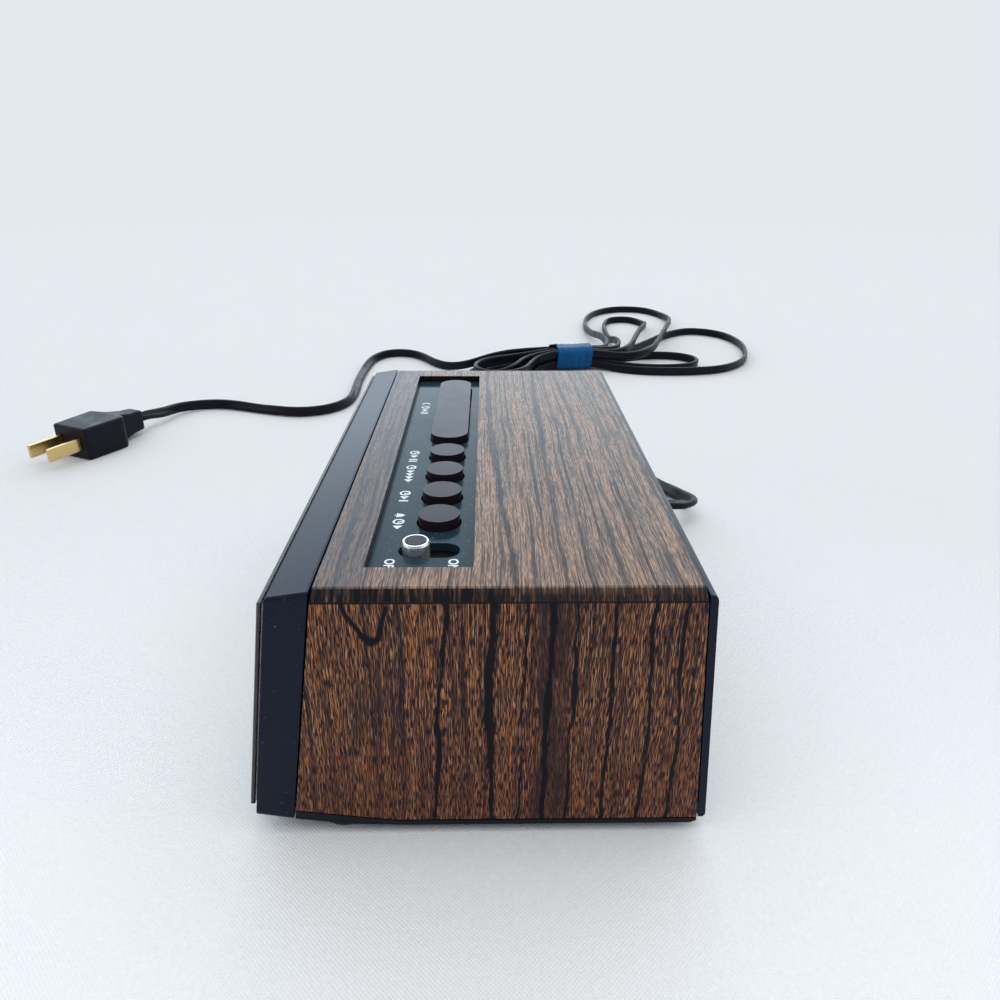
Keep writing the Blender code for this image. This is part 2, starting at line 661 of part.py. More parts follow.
def make_base_tray():
    """Moulded floor that rises at the front, with a locating rib, posts, slots and foot pads."""
    back = LENS_THICKNESS + SEAT_GAP + BEZEL_DEPTH
    nose_y, nose_z = wrap_nose()
    nose = nose_z - SEAT_GAP
    rear = rear_y(WRAP_BOTTOM, REAR_WALL + SEAT_GAP)
    heel = WRAP_BOTTOM + SEAT_GAP
    flat_start = nose_y + BASE_TOE_LENGTH
    toe_start = nose_y + WRAP_TOE_LENGTH
    outline = (
        (front_y(heel + SEAT_GAP, back + SEAT_GAP), heel + SEAT_GAP),
        (flat_start - BASE_TOE_LENGTH / 2, FLOOR_GAP + BASE_FLOOR / 3),
        (flat_start, FLOOR_GAP),
        (rear - BASE_FLOOR, FLOOR_GAP),
        (rear, FLOOR_GAP + BASE_FLOOR / 2),
        (rear, BASE_TOP),
        (toe_start, BASE_TOP),
        (front_y(nose, back + SEAT_GAP), nose),
    )
    tray = add_mesh("base_tray", extruded(outline, -HALF_LENGTH, HALF_LENGTH, "X"), BLACK_PLASTIC)

    outer_x = HALF_LENGTH - WRAP_WALL - SEAT_GAP
    rib_front = toe_start
    rib_rear = rear - SEAT_GAP
    rib_top = BASE_TOP + BASE_RIB_HEIGHT
    sink = BASE_FLOOR / 2
    ribs = [
        block((side * outer_x - BASE_RIB_WALL * (side > 0), rib_front, BASE_TOP - sink),
              (side * outer_x + BASE_RIB_WALL * (side < 0), rib_rear, rib_top))
        for side in (-1, 1)
    ]
    boolean(tray, add_cutter("base_ribs", merged(ribs)), "UNION")

    raised = [cylinder(x, y, BASE_TOP - sink, MAIN_BOARD_Z - SEAT_GAP, POST_RADIUS, 20)
              for x, y in board_posts()]
    pad_radius = SCREW_HEAD_RADIUS + BASE_RIB_WALL
    raised += [cylinder(x, y, BASE_TOP - sink, lug_bottom() - SEAT_GAP, pad_radius, 24)
               for x, y, _ in screw_places()]
    boolean(tray, add_cutter("base_posts", merged(raised)), "UNION")
    pads = [cylinder(x, y, FLOOR_GAP, BASE_TOP - sink / 2, FOOT_RADIUS + FOOT_PAD_MARGIN, 32)
            for x, y in foot_places()]
    boolean(tray, add_cutter("foot_pads", merged(pads)), "UNION")

    heads = [cylinder(x, y, 0, screw_head_top() + SEAT_GAP, SCREW_HEAD_RADIUS + SEAT_GAP, 24)
             for x, y, _ in screw_places()]
    boolean(tray, add_cutter("screw_heads", merged(heads)))
    shanks = [cylinder(x, y, 0, lug_bottom() + OVERRUN, SCREW_SHANK_RADIUS + SEAT_GAP, 20)
              for x, y, _ in screw_places()]
    boolean(tray, add_cutter("screw_shanks", merged(shanks)))

    slots = []
    for centre_x in (SPEAKER_X, CORE_X):
        for index in range(BASE_SLOTS):
            x = centre_x + (index - (BASE_SLOTS - 1) / 2) * BASE_SLOT_PITCH
            slot = rounded_rectangle(BASE_SLOT_WIDTH, BASE_SLOT_LENGTH, BASE_SLOT_WIDTH / 2, 3)
            slots.append(extruded(shifted(slot, x, SPEAKER_Y), 0, rib_top + OVERRUN, "Z"))
    boolean(tray, add_cutter("base_slots", merged(slots)))
    return tray


def make_feet():
    for index, (x, y) in enumerate(foot_places(), 1):
        shape = cylinder(0, 0, 0, FLOOR_GAP - SEAT_GAP, FOOT_RADIUS, 32)
        foot = add_mesh(f"rubber_foot_{index}", shape, RUBBER)
        foot.location = (x, y, 0)
        bevel(foot, BEZEL_EDGE / 2, 1)
        smooth(foot)


def make_case_screws():
    """Four pan-head screws that hold the base to the lugs."""
    low = FLOOR_GAP + SEAT_GAP
    head_top = screw_head_top()
    for index, (x, y, _) in enumerate(screw_places(), 1):
        screw = turned(f"case_screw_{index}", (
            (0.0, head_top + SCREW_LENGTH),
            (SCREW_SHANK_RADIUS, head_top + SCREW_LENGTH),
            (SCREW_SHANK_RADIUS, head_top),
            (SCREW_HEAD_RADIUS, head_top),
            (SCREW_HEAD_RADIUS, low + SCREW_HEAD_HEIGHT / 2),
            (SCREW_SHANK_RADIUS, low),
            (0.0, low),
        ), STEEL, 20)
        screw.location = (x, y, 0)


def plate_posts():
    """Places of the posts under the control plate that carry the key board."""
    x = CUTOUT_LENGTH / 2 - POST_RADIUS
    front = CUTOUT_FRONT + POST_RADIUS / 2
    rear = CUTOUT_REAR + POST_RADIUS / 2
    return [(side * x, y) for side in (-1, 1) for y in (front, rear)]


def key_places():
    return [(KEY_FIRST_X - index * KEY_PITCH, KEY_Y) for index in range(len(KEY_NAMES))]


def snooze_stems():
    return [(SNOOZE_X + side * SNOOZE_STEM_SPREAD / 2, KEY_Y) for side in (-1, 1)]


def make_control_plate():
    """Glossy plate under the cut-out, with round holes, the long opening, a slot and posts."""
    half_x = CUTOUT_LENGTH / 2 + PLATE_MARGIN_X
    plate = add_mesh("control_plate", block(
        (-half_x, CUTOUT_FRONT - PLATE_MARGIN_Y, PLATE_BOTTOM),
        (half_x, CUTOUT_REAR + PLATE_MARGIN_Y, PLATE_TOP)), PLATE_PLASTIC)
    low = PLATE_BOTTOM - OVERRUN
    high = PLATE_TOP + OVERRUN
    holes = [cylinder(x, y, low, high, KEY_RADIUS + KEY_CLEARANCE, 36) for x, y in key_places()]
    opening = rounded_rectangle(
        SNOOZE_LENGTH + 2 * KEY_CLEARANCE, SNOOZE_WIDTH + 2 * KEY_CLEARANCE,
        SNOOZE_CORNER + KEY_CLEARANCE)
    holes.append(extruded(shifted(opening, SNOOZE_X, KEY_Y), low, high, "Z"))
    slot = rounded_rectangle(
        2 * (KNOB_RADIUS + SEAT_GAP), SLOT_REAR - SLOT_FRONT, KNOB_RADIUS + SEAT_GAP)
    holes.append(extruded(shifted(slot, KNOB_X, (SLOT_REAR + SLOT_FRONT) / 2), low, high, "Z"))
    boolean(plate, add_cutter("plate_openings", merged(holes)))
    posts = [cylinder(x, y, PLATE_BOTTOM - PLATE_POST_LENGTH, PLATE_TOP - PLATE_THICKNESS / 2,
                      POST_RADIUS, 20) for x, y in plate_posts()]
    boolean(plate, add_cutter("plate_posts", merged(posts)), "UNION")
    return plate


def stem_bottom():
    return SWITCH_TOP - STEM_ENGAGEMENT


def key_solid(outline, flange_outline, stems, x):
    """A key's cap, its flange under the plate and its stems, as one closed solid."""
    cap = extruded(outline, FLANGE_TOP - KEY_FLANGE_THICKNESS / 2, KEY_TOP, "Z")
    flange = extruded(flange_outline, FLANGE_BOTTOM, FLANGE_TOP, "Z")
    legs = [cylinder(stem_x - x, 0, stem_bottom(), FLANGE_BOTTOM + KEY_FLANGE_THICKNESS / 2,
                     STEM_RADIUS, 16) for stem_x, _ in stems]
    return cap, flange, legs


def make_key(name, outline, flange_outline, stems, x):
    cap, flange, legs = key_solid(outline, flange_outline, stems, x)
    key = add_mesh(name, cap, KEY_PLASTIC)
    key.location = (x, KEY_Y, 0)
    bevel(key, KEY_EDGE, 2, 60)
    for label, shapes in (("flange", [flange]), ("stems", legs)):
        added = add_cutter(f"{name}_{label}", merged(shapes))
        added.location = key.location
        boolean(key, added, "UNION")
    smooth(key)
    return key


def make_keys():
    """Four round keys and the long snooze bar."""
    keys = []
    for name, (x, y) in zip(KEY_NAMES, key_places()):
        outline = rounded_rectangle(2 * KEY_RADIUS, 2 * KEY_RADIUS, KEY_RADIUS, 9)
        flange = rounded_rectangle(
            2 * (KEY_RADIUS + KEY_FLANGE), 2 * (KEY_RADIUS + KEY_FLANGE), KEY_RADIUS + KEY_FLANGE, 8)
        keys.append(make_key(name, without_repeats(outline), without_repeats(flange), [(x, y)], x))
    outline = rounded_rectangle(SNOOZE_LENGTH, SNOOZE_WIDTH, SNOOZE_CORNER, 8)
    flange = rounded_rectangle(
        SNOOZE_LENGTH + 2 * KEY_FLANGE, SNOOZE_WIDTH + 2 * KEY_FLANGE, SNOOZE_CORNER + KEY_FLANGE, 6)
    keys.append(make_key("snooze_bar", outline, flange, snooze_stems(), SNOOZE_X))
    return keys


def without_repeats(outline):
    """Drop points that fall on the one before them, as on a rounded square that is a circle."""
    kept = []
    for point in outline:
        if not kept or math.dist(point, kept[-1]) > CORD_FLOOR_GAP / 10:
            kept.append(point)
    if math.dist(kept[0], kept[-1]) < CORD_FLOOR_GAP / 10:
        kept.pop()
    return kept


def make_alarm_switch():
    """Knob with its dark disc, on a slider plate whose lug moves the switch under it."""
    mount = bpy.data.objects.new("alarm_switch_mount", None)
    mount.location = (KNOB_X, KNOB_Y, 0)
    CLOCK.objects.link(mount)
    knob_bottom = FLANGE_TOP + SEAT_GAP
    knob_top = CASE_TOP + KNOB_RISE
    recess = INSERT_THICKNESS + SEAT_GAP
    bore = INSERT_RADIUS + SEAT_GAP
    chamfer = KNOB_EDGE
    knob = turned("alarm_switch_knob", (
        (0.0, knob_top - recess),
        (bore, knob_top - recess),
        (bore, knob_top),
        (KNOB_RADIUS - chamfer / 2, knob_top),
        (KNOB_RADIUS, knob_top - chamfer),
        (KNOB_RADIUS, knob_bottom),
        (0.0, knob_bottom),
    ), BRIGHT_METAL, 36)
    insert_low = knob_top - recess + SEAT_GAP
    insert = turned("alarm_switch_insert", (
        (0.0, insert_low + INSERT_THICKNESS),
        (INSERT_RADIUS, insert_low + INSERT_THICKNESS),
        (INSERT_RADIUS, insert_low),
        (0.0, insert_low),
    ), KEY_PLASTIC, 28)
    front = SLOT_FRONT - KNOB_TRAVEL - KNOB_EDGE
    rear = SLOT_REAR + KNOB_EDGE
    slider = add_mesh("alarm_switch_slider", block(
        (-SLIDER_WIDTH / 2, front - KNOB_Y, FLANGE_TOP - SLIDER_THICKNESS),
        (SLIDER_WIDTH / 2, rear - KNOB_Y, FLANGE_TOP)), PACKAGE)
    lug = add_cutter("slider_lug", block(
        (-LUG_SIDE / 2, -LUG_SIDE / 2, stem_bottom()),
        (LUG_SIDE / 2, LUG_SIDE / 2, FLANGE_TOP - SLIDER_THICKNESS / 2)))
    lug.location = mount.location
    boolean(slider, lug, "UNION")
    for item in (knob, insert, slider):
        item.parent = mount
    return knob, insert, slider


def make_key_board():
    """Board under the keys, with the push switches and the slide switch on it."""
    half_x = CUTOUT_LENGTH / 2
    add_mesh("key_board", block(
        (-half_x, CUTOUT_FRONT - PLATE_MARGIN_Y / 2, KEY_BOARD_TOP - BOARD_THICKNESS),
        (half_x, CUTOUT_REAR + PLATE_MARGIN_Y / 2, KEY_BOARD_TOP)), BOARD)
    depth = stem_bottom() - KEY_TRAVEL - SEAT_GAP
    half = SWITCH_SIDE / 2
    for index, (x, y) in enumerate(key_places() + snooze_stems(), 1):
        switch = add_mesh(f"key_switch_{index}", block(
            (x - half, y - half, SWITCH_BOTTOM), (x + half, y + half, SWITCH_TOP)), PACKAGE)
        bore = cylinder(x, y, depth, SWITCH_TOP + OVERRUN, STEM_RADIUS + SEAT_GAP, 20)
        boolean(switch, add_cutter("switch_bore", bore))

    slot_front = KNOB_Y - LUG_SIDE / 2 - SEAT_GAP
    slot_rear = KNOB_Y + LUG_SIDE / 2 + KNOB_TRAVEL + SEAT_GAP
    margin = (SLIDE_BODY_WIDTH - LUG_SIDE) / 2
    slide = add_mesh("slide_switch_body", block(
        (KNOB_X - SLIDE_BODY_WIDTH / 2, slot_front - margin, SWITCH_BOTTOM),
        (KNOB_X + SLIDE_BODY_WIDTH / 2, slot_rear + margin, SWITCH_TOP)), STEEL)
    track = add_cutter("slide_track", block(
        (KNOB_X - LUG_SIDE / 2 - SEAT_GAP, slot_front, stem_bottom() - SEAT_GAP),
        (KNOB_X + LUG_SIDE / 2 + SEAT_GAP, slot_rear, SWITCH_TOP + OVERRUN)))
    boolean(slide, track)


def make_main_board():
    """Board on the base's posts with the clock chip and the filter capacitor."""
    half_x = MAIN_BOARD_LENGTH / 2
    half_y = MAIN_BOARD_DEPTH / 2
    add_mesh("main_board", block(
        (-half_x, MAIN_BOARD_Y - half_y, MAIN_BOARD_Z),
        (half_x, MAIN_BOARD_Y + half_y, MAIN_BOARD_TOP)), BOARD)
    seat = MAIN_BOARD_TOP + SEAT_GAP
    chip_x = half_x - CHIP_EDGE_SPACE
    chip_y = MAIN_BOARD_Y - half_y + CHIP_EDGE_SPACE
    chip = add_mesh("clock_chip", block(
        (chip_x - CHIP_LENGTH, chip_y, seat),
        (chip_x, chip_y + CHIP_WIDTH, seat + CHIP_HEIGHT)), PACKAGE)
    bevel(chip, KEY_EDGE, 1)
    edge = CAPACITOR_RADIUS / 10
    capacitor = turned("filter_capacitor", (
        (0.0, seat + CAPACITOR_HEIGHT),
        (CAPACITOR_RADIUS - edge, seat + CAPACITOR_HEIGHT),
        (CAPACITOR_RADIUS, seat + CAPACITOR_HEIGHT - edge),
        (CAPACITOR_RADIUS, seat + 3 * edge),
        (CAPACITOR_RADIUS - edge, seat + 2 * edge),
        (CAPACITOR_RADIUS, seat + edge),
        (CAPACITOR_RADIUS, seat),
        (0.0, seat),
    ), SLEEVE_BLUE, 28)
    capacitor.location = (-half_x + 2 * CAPACITOR_RADIUS, MAIN_BOARD_Y + half_y - 2 * CAPACITOR_RADIUS, 0)


def display_board_face():
    """Distance from the lens face to the front of the display's board."""
    return LENS_THICKNESS + SEAT_GAP + BEZEL_WALL + SEAT_GAP + DIGITS_DEPTH


def make_display_module():
    """Light-emitting digits on their board, behind the window."""
    face = display_board_face()
    board = add_mesh("display_module", leaned(block(
        (-DISPLAY_BOARD_LENGTH / 2, face, WINDOW_CENTRE - DISPLAY_BOARD_HEIGHT / 2),
        (DISPLAY_BOARD_LENGTH / 2, face + BOARD_THICKNESS,
         WINDOW_CENTRE + DISPLAY_BOARD_HEIGHT / 2))), PACKAGE)
    digits = add_cutter("digit_block", leaned(block(
        (-DIGITS_LENGTH / 2, face - DIGITS_DEPTH, WINDOW_CENTRE - DIGITS_HEIGHT / 2),
        (DIGITS_LENGTH / 2, face + BOARD_THICKNESS / 2, WINDOW_CENTRE + DIGITS_HEIGHT / 2))))
    boolean(board, digits, "UNION")


def make_transformer():
    """Laminated core with two windows, and the winding round its middle limb."""
    low = BASE_TOP + SEAT_GAP
    high = low + CORE_HEIGHT
    core = add_mesh("transformer_core", block(
        (CORE_X - CORE_LENGTH / 2, CORE_Y - CORE_DEPTH / 2, low),
        (CORE_X + CORE_LENGTH / 2, CORE_Y + CORE_DEPTH / 2, high)), STEEL)
    yoke = (CORE_LENGTH - CORE_LIMB - 2 * CORE_WINDOW) / 2
    reach = (CORE_LIMB + CORE_WINDOW) / 2
    windows = [block(
        (CORE_X + side * reach - CORE_WINDOW / 2, CORE_Y - CORE_DEPTH, low + yoke),
        (CORE_X + side * reach + CORE_WINDOW / 2, CORE_Y + CORE_DEPTH, high - yoke))
        for side in (-1, 1)]
    boolean(core, add_cutter("core_windows", merged(windows)))
    half_x = CORE_LIMB / 2 + CORE_WINDOW - SEAT_GAP
    outline = rounded_rectangle(2 * half_x, CORE_DEPTH + 2 * COIL_OVERHANG, COIL_OVERHANG / 2, 4)
    coil = add_mesh("transformer_coil", extruded(
        shifted(outline, CORE_X, CORE_Y), low + yoke + SEAT_GAP, high - yoke - SEAT_GAP, "Z"), COPPER)
    limb = add_cutter("limb_opening", block(
        (CORE_X - CORE_LIMB / 2 - SEAT_GAP, CORE_Y - CORE_DEPTH / 2 - SEAT_GAP, low),
        (CORE_X + CORE_LIMB / 2 + SEAT_GAP, CORE_Y + CORE_DEPTH / 2 + SEAT_GAP, high)))
    boolean(coil, limb)


def make_speaker():
    """Sounder face down over the base's slots, turned about its axis."""
    low = BASE_TOP + SEAT_GAP
    cone = low + SPEAKER_RIM + SPEAKER_CONE_HEIGHT
    top = cone + SPEAKER_MAGNET_HEIGHT
    speaker = turned("alarm_speaker", (
        (0.0, top),
        (SPEAKER_MAGNET_RADIUS, top),
        (SPEAKER_MAGNET_RADIUS, cone),
        (SPEAKER_MAGNET_RADIUS - SPEAKER_RIM, cone),
        (SPEAKER_RADIUS - SPEAKER_RIM, low + SPEAKER_RIM),
        (SPEAKER_RADIUS, low + SPEAKER_RIM),
        (SPEAKER_RADIUS, low),
        (0.0, low),
    ), STEEL, 32)
    speaker.location = (SPEAKER_X, SPEAKER_Y, 0)


def make_strain_relief():
    """Sleeve that grips the cover's outlet and tapers along the lead."""
    wall_in = rear_y(RELIEF_Z + RELIEF_COLLAR_RADIUS, REAR_WALL) - SEAT_GAP
    wall_out = rear_y(RELIEF_Z - RELIEF_COLLAR_RADIUS) + SEAT_GAP
    end = wall_out + RELIEF_LENGTH
    steps = 4
    taper = [
        (RELIEF_SLEEVE_RADIUS + (RELIEF_END_RADIUS - RELIEF_SLEEVE_RADIUS) * step / steps,
         wall_out + RELIEF_COLLAR + (end - wall_out - RELIEF_COLLAR) * step / steps)
        for step in range(steps + 1)
    ]
    profile = [(0.0, end)] + taper[::-1]
    profile += [
        (RELIEF_COLLAR_RADIUS, wall_out + RELIEF_COLLAR),
        (RELIEF_COLLAR_RADIUS, wall_out),
        (RELIEF_NECK_RADIUS, wall_out),
        (RELIEF_NECK_RADIUS, wall_in),
        (RELIEF_COLLAR_RADIUS, wall_in),
        (RELIEF_COLLAR_RADIUS, wall_in - RELIEF_FLANGE),
        (0.0, wall_in - RELIEF_FLANGE),
    ]
    relief = turned("cord_strain_relief", profile, CORD_PLASTIC, 28)
    relief.rotation_euler = (-math.pi / 2, 0, 0)
    relief.location = (RELIEF_X, 0, RELIEF_Z)
    return end


# The lead's routes: points of the floor plan chosen by hand, with heights above the floor.
# The first bend is counted from the sleeve's end.
POWER_BEND = (
    (-0.0032, 0.0134, 0.0092),
    (-0.0110, 0.0166, 0.0068),
    (-0.0190, 0.0152, 0.0048),
    (-0.0300, 0.0118, 0.0034),
)
POWER_ROUTE = (
    (-0.1120, 0.0770, CORD_Z),
    (-0.1300, 0.0710, CORD_Z),
    (-0.1560, 0.0620, CORD_Z),
    (-0.1880, 0.0520, CORD_Z),
    (-0.2150, 0.0440, CORD_Z),
)
PLUG_ROUTE = (
    (-0.3090, -0.0240, CORD_Z),
    (-0.3190, -0.0345, CORD_Z),
    (-0.3340, -0.0430, CORD_Z),
    (-0.3465, -0.0555, CORD_Z),
    (-0.3455, -0.0700, CORD_Z),
    (-0.3300, -0.0785, CORD_Z),
    (-0.3050, -0.0815, CORD_Z),
    (-0.2740, -0.0815, CORD_Z),
    (-0.2450, -0.0795, CORD_Z),
    (-0.2260, -0.0810, CORD_Z),
    (-0.2130, -0.0910, CORD_Z),
    (-0.2090, -0.1060, CORD_Z),
    (-0.2140, -0.1220, CORD_Z),
    (-0.2200, -0.1380, CORD_Z),
    (-0.2240, -0.1530, CORD_Z),
    (-0.2220, -0.1665, CORD_Z),
    (-0.2130, -0.1745, 0.0042),
    (-0.1985, -0.1765, 0.0062),
)

# Right side of the hank: two loops on the floor, then two that lie over them
OUTER_LOW = (
    (-0.3030, 0.0900), (-0.2975, 0.1130), (-0.2970, 0.1380), (-0.3030, 0.1620), (-0.3220, 0.1820),
    (-0.3520, 0.1940), (-0.3860, 0.1975), (-0.4120, 0.1890), (-0.4220, 0.1690), (-0.4080, 0.1480),
    (-0.3840, 0.1290), (-0.3600, 0.1110), (-0.3420, 0.0935),
)
INNER_LOW = (
    (-0.3113, 0.0900), (-0.3060, 0.1080), (-0.3050, 0.1260), (-0.3100, 0.1430), (-0.3240, 0.1510),
    (-0.3370, 0.1420), (-0.3410, 0.1260), (-0.3370, 0.1080), (-0.3280, 0.0900),
)
INNER_HIGH = (
    (-0.3180, 0.0880), (-0.3270, 0.0985), (-0.3440, 0.1070), (-0.3680, 0.1140), (-0.3960, 0.1230),
    (-0.4240, 0.1320), (-0.4500, 0.1360), (-0.4690, 0.1260), (-0.4660, 0.1100), (-0.4460, 0.1020),
    (-0.4180, 0.0990), (-0.3900, 0.0985), (-0.3670, 0.0990), (-0.3470, 0.0985), (-0.3315, 0.0925),
)
OUTER_HIGH = (
    (-0.3085, 0.0930), (-0.3160, 0.1075), (-0.3320, 0.1195), (-0.3560, 0.1290), (-0.3860, 0.1390),
    (-0.4180, 0.1500), (-0.4520, 0.1590), (-0.4860, 0.1600), (-0.5120, 0.1470), (-0.5160, 0.1240),
    (-0.5000, 0.1030), (-0.4720, 0.0900), (-0.4380, 0.0850), (-0.4040, 0.0860), (-0.3740, 0.0890),
    (-0.3500, 0.0900), (-0.3350, 0.0850),
)
# Left side, along a bent spine: distance from the waist and offset towards +X
LEFT_OUTER_LOW = (
    (0.014, -0.0106), (0.025, -0.0130), (0.036, -0.0170), (0.047, -0.0195), (0.058, -0.0165),
    (0.065, -0.0070), (0.066, 0.0045), (0.061, 0.0130), (0.051, 0.0155), (0.040, 0.0115),
    (0.030, 0.0065), (0.021, 0.0040), (0.014, 0.0035),
)
LEFT_INNER = (
    (0.014, -0.0036), (0.025, -0.0060), (0.035, -0.0100), (0.045, -0.0120), (0.054, -0.0080),
    (0.058, 0.0010), (0.0545, 0.0090), (0.046, 0.0115), (0.037, 0.0085), (0.029, 0.0055),
    (0.021, 0.0040), (0.014, 0.0035),
)
LEFT_OUTER_HIGH = (
    (0.014, -0.0036), (0.025, -0.0060), (0.038, -0.0105), (0.051, -0.0120), (0.062, -0.0075),
    (0.0685, 0.0035), (0.0655, 0.0150), (0.055, 0.0220), (0.043, 0.0205), (0.032, 0.0150),
    (0.022, 0.0115), (0.014, 0.0106),
)
LEAD_IN = ((-0.2470, 0.0370), (-0.2600, 0.0345), (-0.2730, 0.0330), (-0.2850, 0.0330), (-0.2960, 0.0370))
LEAD_OUT = (
    (-0.3222, 0.0300, 0.0105), (-0.3160, 0.0150, 0.0100), (-0.3090, 0.0020, 0.0088),
    (-0.3062, -0.0110, 0.0052),
)


def waist_place(along, column, row):
    """A point in the tied waist: distance along it, and a strand's column and row."""
    across = (1.5 - column) * WAIST_COLUMN
    x = WAIST_X - along * math.sin(WAIST_TURN) + across * math.cos(WAIST_TURN)
    y = WAIST_Y + along * math.cos(WAIST_TURN) + across * math.sin(WAIST_TURN)
    return (x, y, CORD_Z + WAIST_RISE + row * LAYER_RISE)


def spine_place(distance, offset, height):
    """A point beside the bent spine on the waist's left: offset is towards +X."""
    heading = -math.pi / 2 + WAIST_TURN
    start = waist_place(-WAIST_HALF, 1.5, 0)
    centre_x = start[0] + SPINE_RADIUS * math.cos(heading + math.pi / 2)
    centre_y = start[1] + SPINE_RADIUS * math.sin(heading + math.pi / 2)
    turned_by = min(distance / SPINE_RADIUS, SPINE_TURN)
    beyond = max(0.0, distance - SPINE_RADIUS * SPINE_TURN)
    angle = heading + turned_by
    radius = SPINE_RADIUS - offset
    x = centre_x + radius * math.cos(angle - math.pi / 2) + beyond * math.cos(angle)
    y = centre_y + radius * math.sin(angle - math.pi / 2) + beyond * math.sin(angle)
    return (x, y, height)


def waist_run(column, row, direction):
    """The straight strand through the tie, left to right or right to left."""
    return [waist_place(direction * share * WAIST_HALF, column, row) for share in WAIST_KNOT_SHARES]


def left_lobe(points, heights):
    count = len(points) - 1
    return [
        spine_place(distance, offset, heights(index / count))
        for index, (distance, offset) in enumerate(points)
    ]


def laid(points, heights):
    count = len(points) - 1
    return [(x, y, heights(index / count)) for index, (x, y) in enumerate(points)]


def hank_route():
    """One unbroken run: in on the floor, out and back through the waist, and out on top."""
    high = CORD_Z + LAYER_RISE

    def low(_):
        return CORD_Z

    def upper(_):
        return high

    def climbing(share):
        rise = (share - CLIMB_START_SHARE) / (CLIMB_END_SHARE - CLIMB_START_SHARE)
        return CORD_Z + LAYER_RISE * min(1.0, max(0.0, rise))

    def dipping(share):
        """High over the floor loops at both ends, and down on the floor past them."""
        rise = max(
            (DIP_LOW_SHARE - share) / (DIP_LOW_SHARE - DIP_START_SHARE),
            (share - RISE_START_SHARE) / (RISE_END_SHARE - RISE_START_SHARE))
        return CORD_Z + LAYER_RISE * min(1.0, max(0.0, rise))

    route = [(x, y, CORD_Z) for x, y in LEAD_IN]
    route += waist_run(0, 0, 1) + laid(OUTER_LOW, low) + waist_run(3, 0, -1)
    route += left_lobe(LEFT_OUTER_LOW, low)
    route += waist_run(1, 0, 1) + laid(INNER_LOW, low) + waist_run(2, 0, -1)
    route += left_lobe(LEFT_INNER, climbing)
    route += waist_run(1, 1, 1) + laid(INNER_HIGH, dipping) + waist_run(2, 1, -1)
    route += left_lobe(LEFT_OUTER_HIGH, upper)
    route += waist_run(0, 1, 1) + laid(OUTER_HIGH, dipping) + waist_run(3, 1, -1)
    route += list(LEAD_OUT)
    route += [PLUG_ROUTE[0]]
    return route


def smooth_curve(points, samples=16):
    """A centripetal curve through the points."""
    places = [np.array(point, dtype=float) for point in points]
    places = [2 * places[0] - places[1]] + places + [2 * places[-1] - places[-2]]
    curve = []
    for index in range(1, len(places) - 2):
        p0, p1, p2, p3 = places[index - 1:index + 3]
        t0 = 0.0
        t1 = t0 + math.sqrt(np.linalg.norm(p1 - p0))
        t2 = t1 + math.sqrt(np.linalg.norm(p2 - p1))
        t3 = t2 + math.sqrt(np.linalg.norm(p3 - p2))
        for step in range(samples):
            t = t1 + (t2 - t1) * step / samples
            a1 = (t1 - t) / (t1 - t0) * p0 + (t - t0) / (t1 - t0) * p1
            a2 = (t2 - t) / (t2 - t1) * p1 + (t - t1) / (t2 - t1) * p2
            a3 = (t3 - t) / (t3 - t2) * p2 + (t - t2) / (t3 - t2) * p3
            b1 = (t2 - t) / (t2 - t0) * a1 + (t - t0) / (t2 - t0) * a2
            b2 = (t3 - t) / (t3 - t1) * a2 + (t - t1) / (t3 - t1) * a3
            curve.append((t2 - t) / (t2 - t1) * b1 + (t - t1) / (t2 - t1) * b2)
    curve.append(places[-2])
    return np.array(curve)


def spread_points(curve, count, bend_weight=0.0):
    """Points along a curve, closer together where it bends."""
    steps = np.diff(curve, axis=0)
    lengths = np.linalg.norm(steps, axis=1)
    headings = steps / lengths[:, None]
    turns = np.zeros(len(lengths))
    turns[1:] = np.arccos(np.clip((headings[1:] * headings[:-1]).sum(axis=1), -1, 1))
    measure = np.concatenate([[0], np.cumsum(lengths + bend_weight * turns)])
    wanted = np.linspace(0, measure[-1], count)
    return np.stack([np.interp(wanted, measure, curve[:, axis]) for axis in range(3)], axis=1)


def curve_length(curve):
    return float(np.linalg.norm(np.diff(curve, axis=0), axis=1).sum())


def least_gap(points):
    """Least clear distance between parts of a tube that aren't neighbours along it."""
    dense = []
    for first, second in zip(points, points[1:]):
        for step in range(GAP_SAMPLES):
            dense.append(first + (second - first) * step / GAP_SAMPLES)
    dense = np.array(dense)
    along = np.concatenate([[0], np.cumsum(np.linalg.norm(np.diff(dense, axis=0), axis=1))])
    least = math.inf
    for index, point in enumerate(dense):
        apart = along - along[index] > GAP_REACH_DIAMETERS * CORD_DIAMETER
        if apart.any():
            least = min(least, float(np.linalg.norm(dense[apart] - point, axis=1).min()))
    return least - CORD_DIAMETER


def tube(name, points, material, sides_level):
    """A round tube along a POLY spline, with filled caps."""
    curve = bpy.data.curves.new(name, "CURVE")
    curve.dimensions = "3D"
    curve.bevel_depth = CORD_DIAMETER / 2
    curve.bevel_resolution = sides_level
    curve.use_fill_caps = True
    spline = curve.splines.new("POLY")
    spline.points.add(len(points) - 1)
    for knot, place in zip(spline.points, points):
        knot.co = (*place, 1.0)
    item = bpy.data.objects.new(name, curve)
    CLOCK.objects.link(item)
    curve.materials.append(material)
    return item


def square_end(points, at_start):
    """Straighten the last diameter of a run along its own heading."""
    points = np.array(points)
    if at_start:
        heading = points[0] - points[1]
        heading[2] = 0
        heading /= np.linalg.norm(heading)
        return np.vstack([points[0] + heading * CORD_DIAMETER, points])
    heading = points[-1] - points[-2]
    heading[2] = 0
    heading /= np.linalg.norm(heading)
    return np.vstack([points, points[-1] + heading * CORD_DIAMETER])


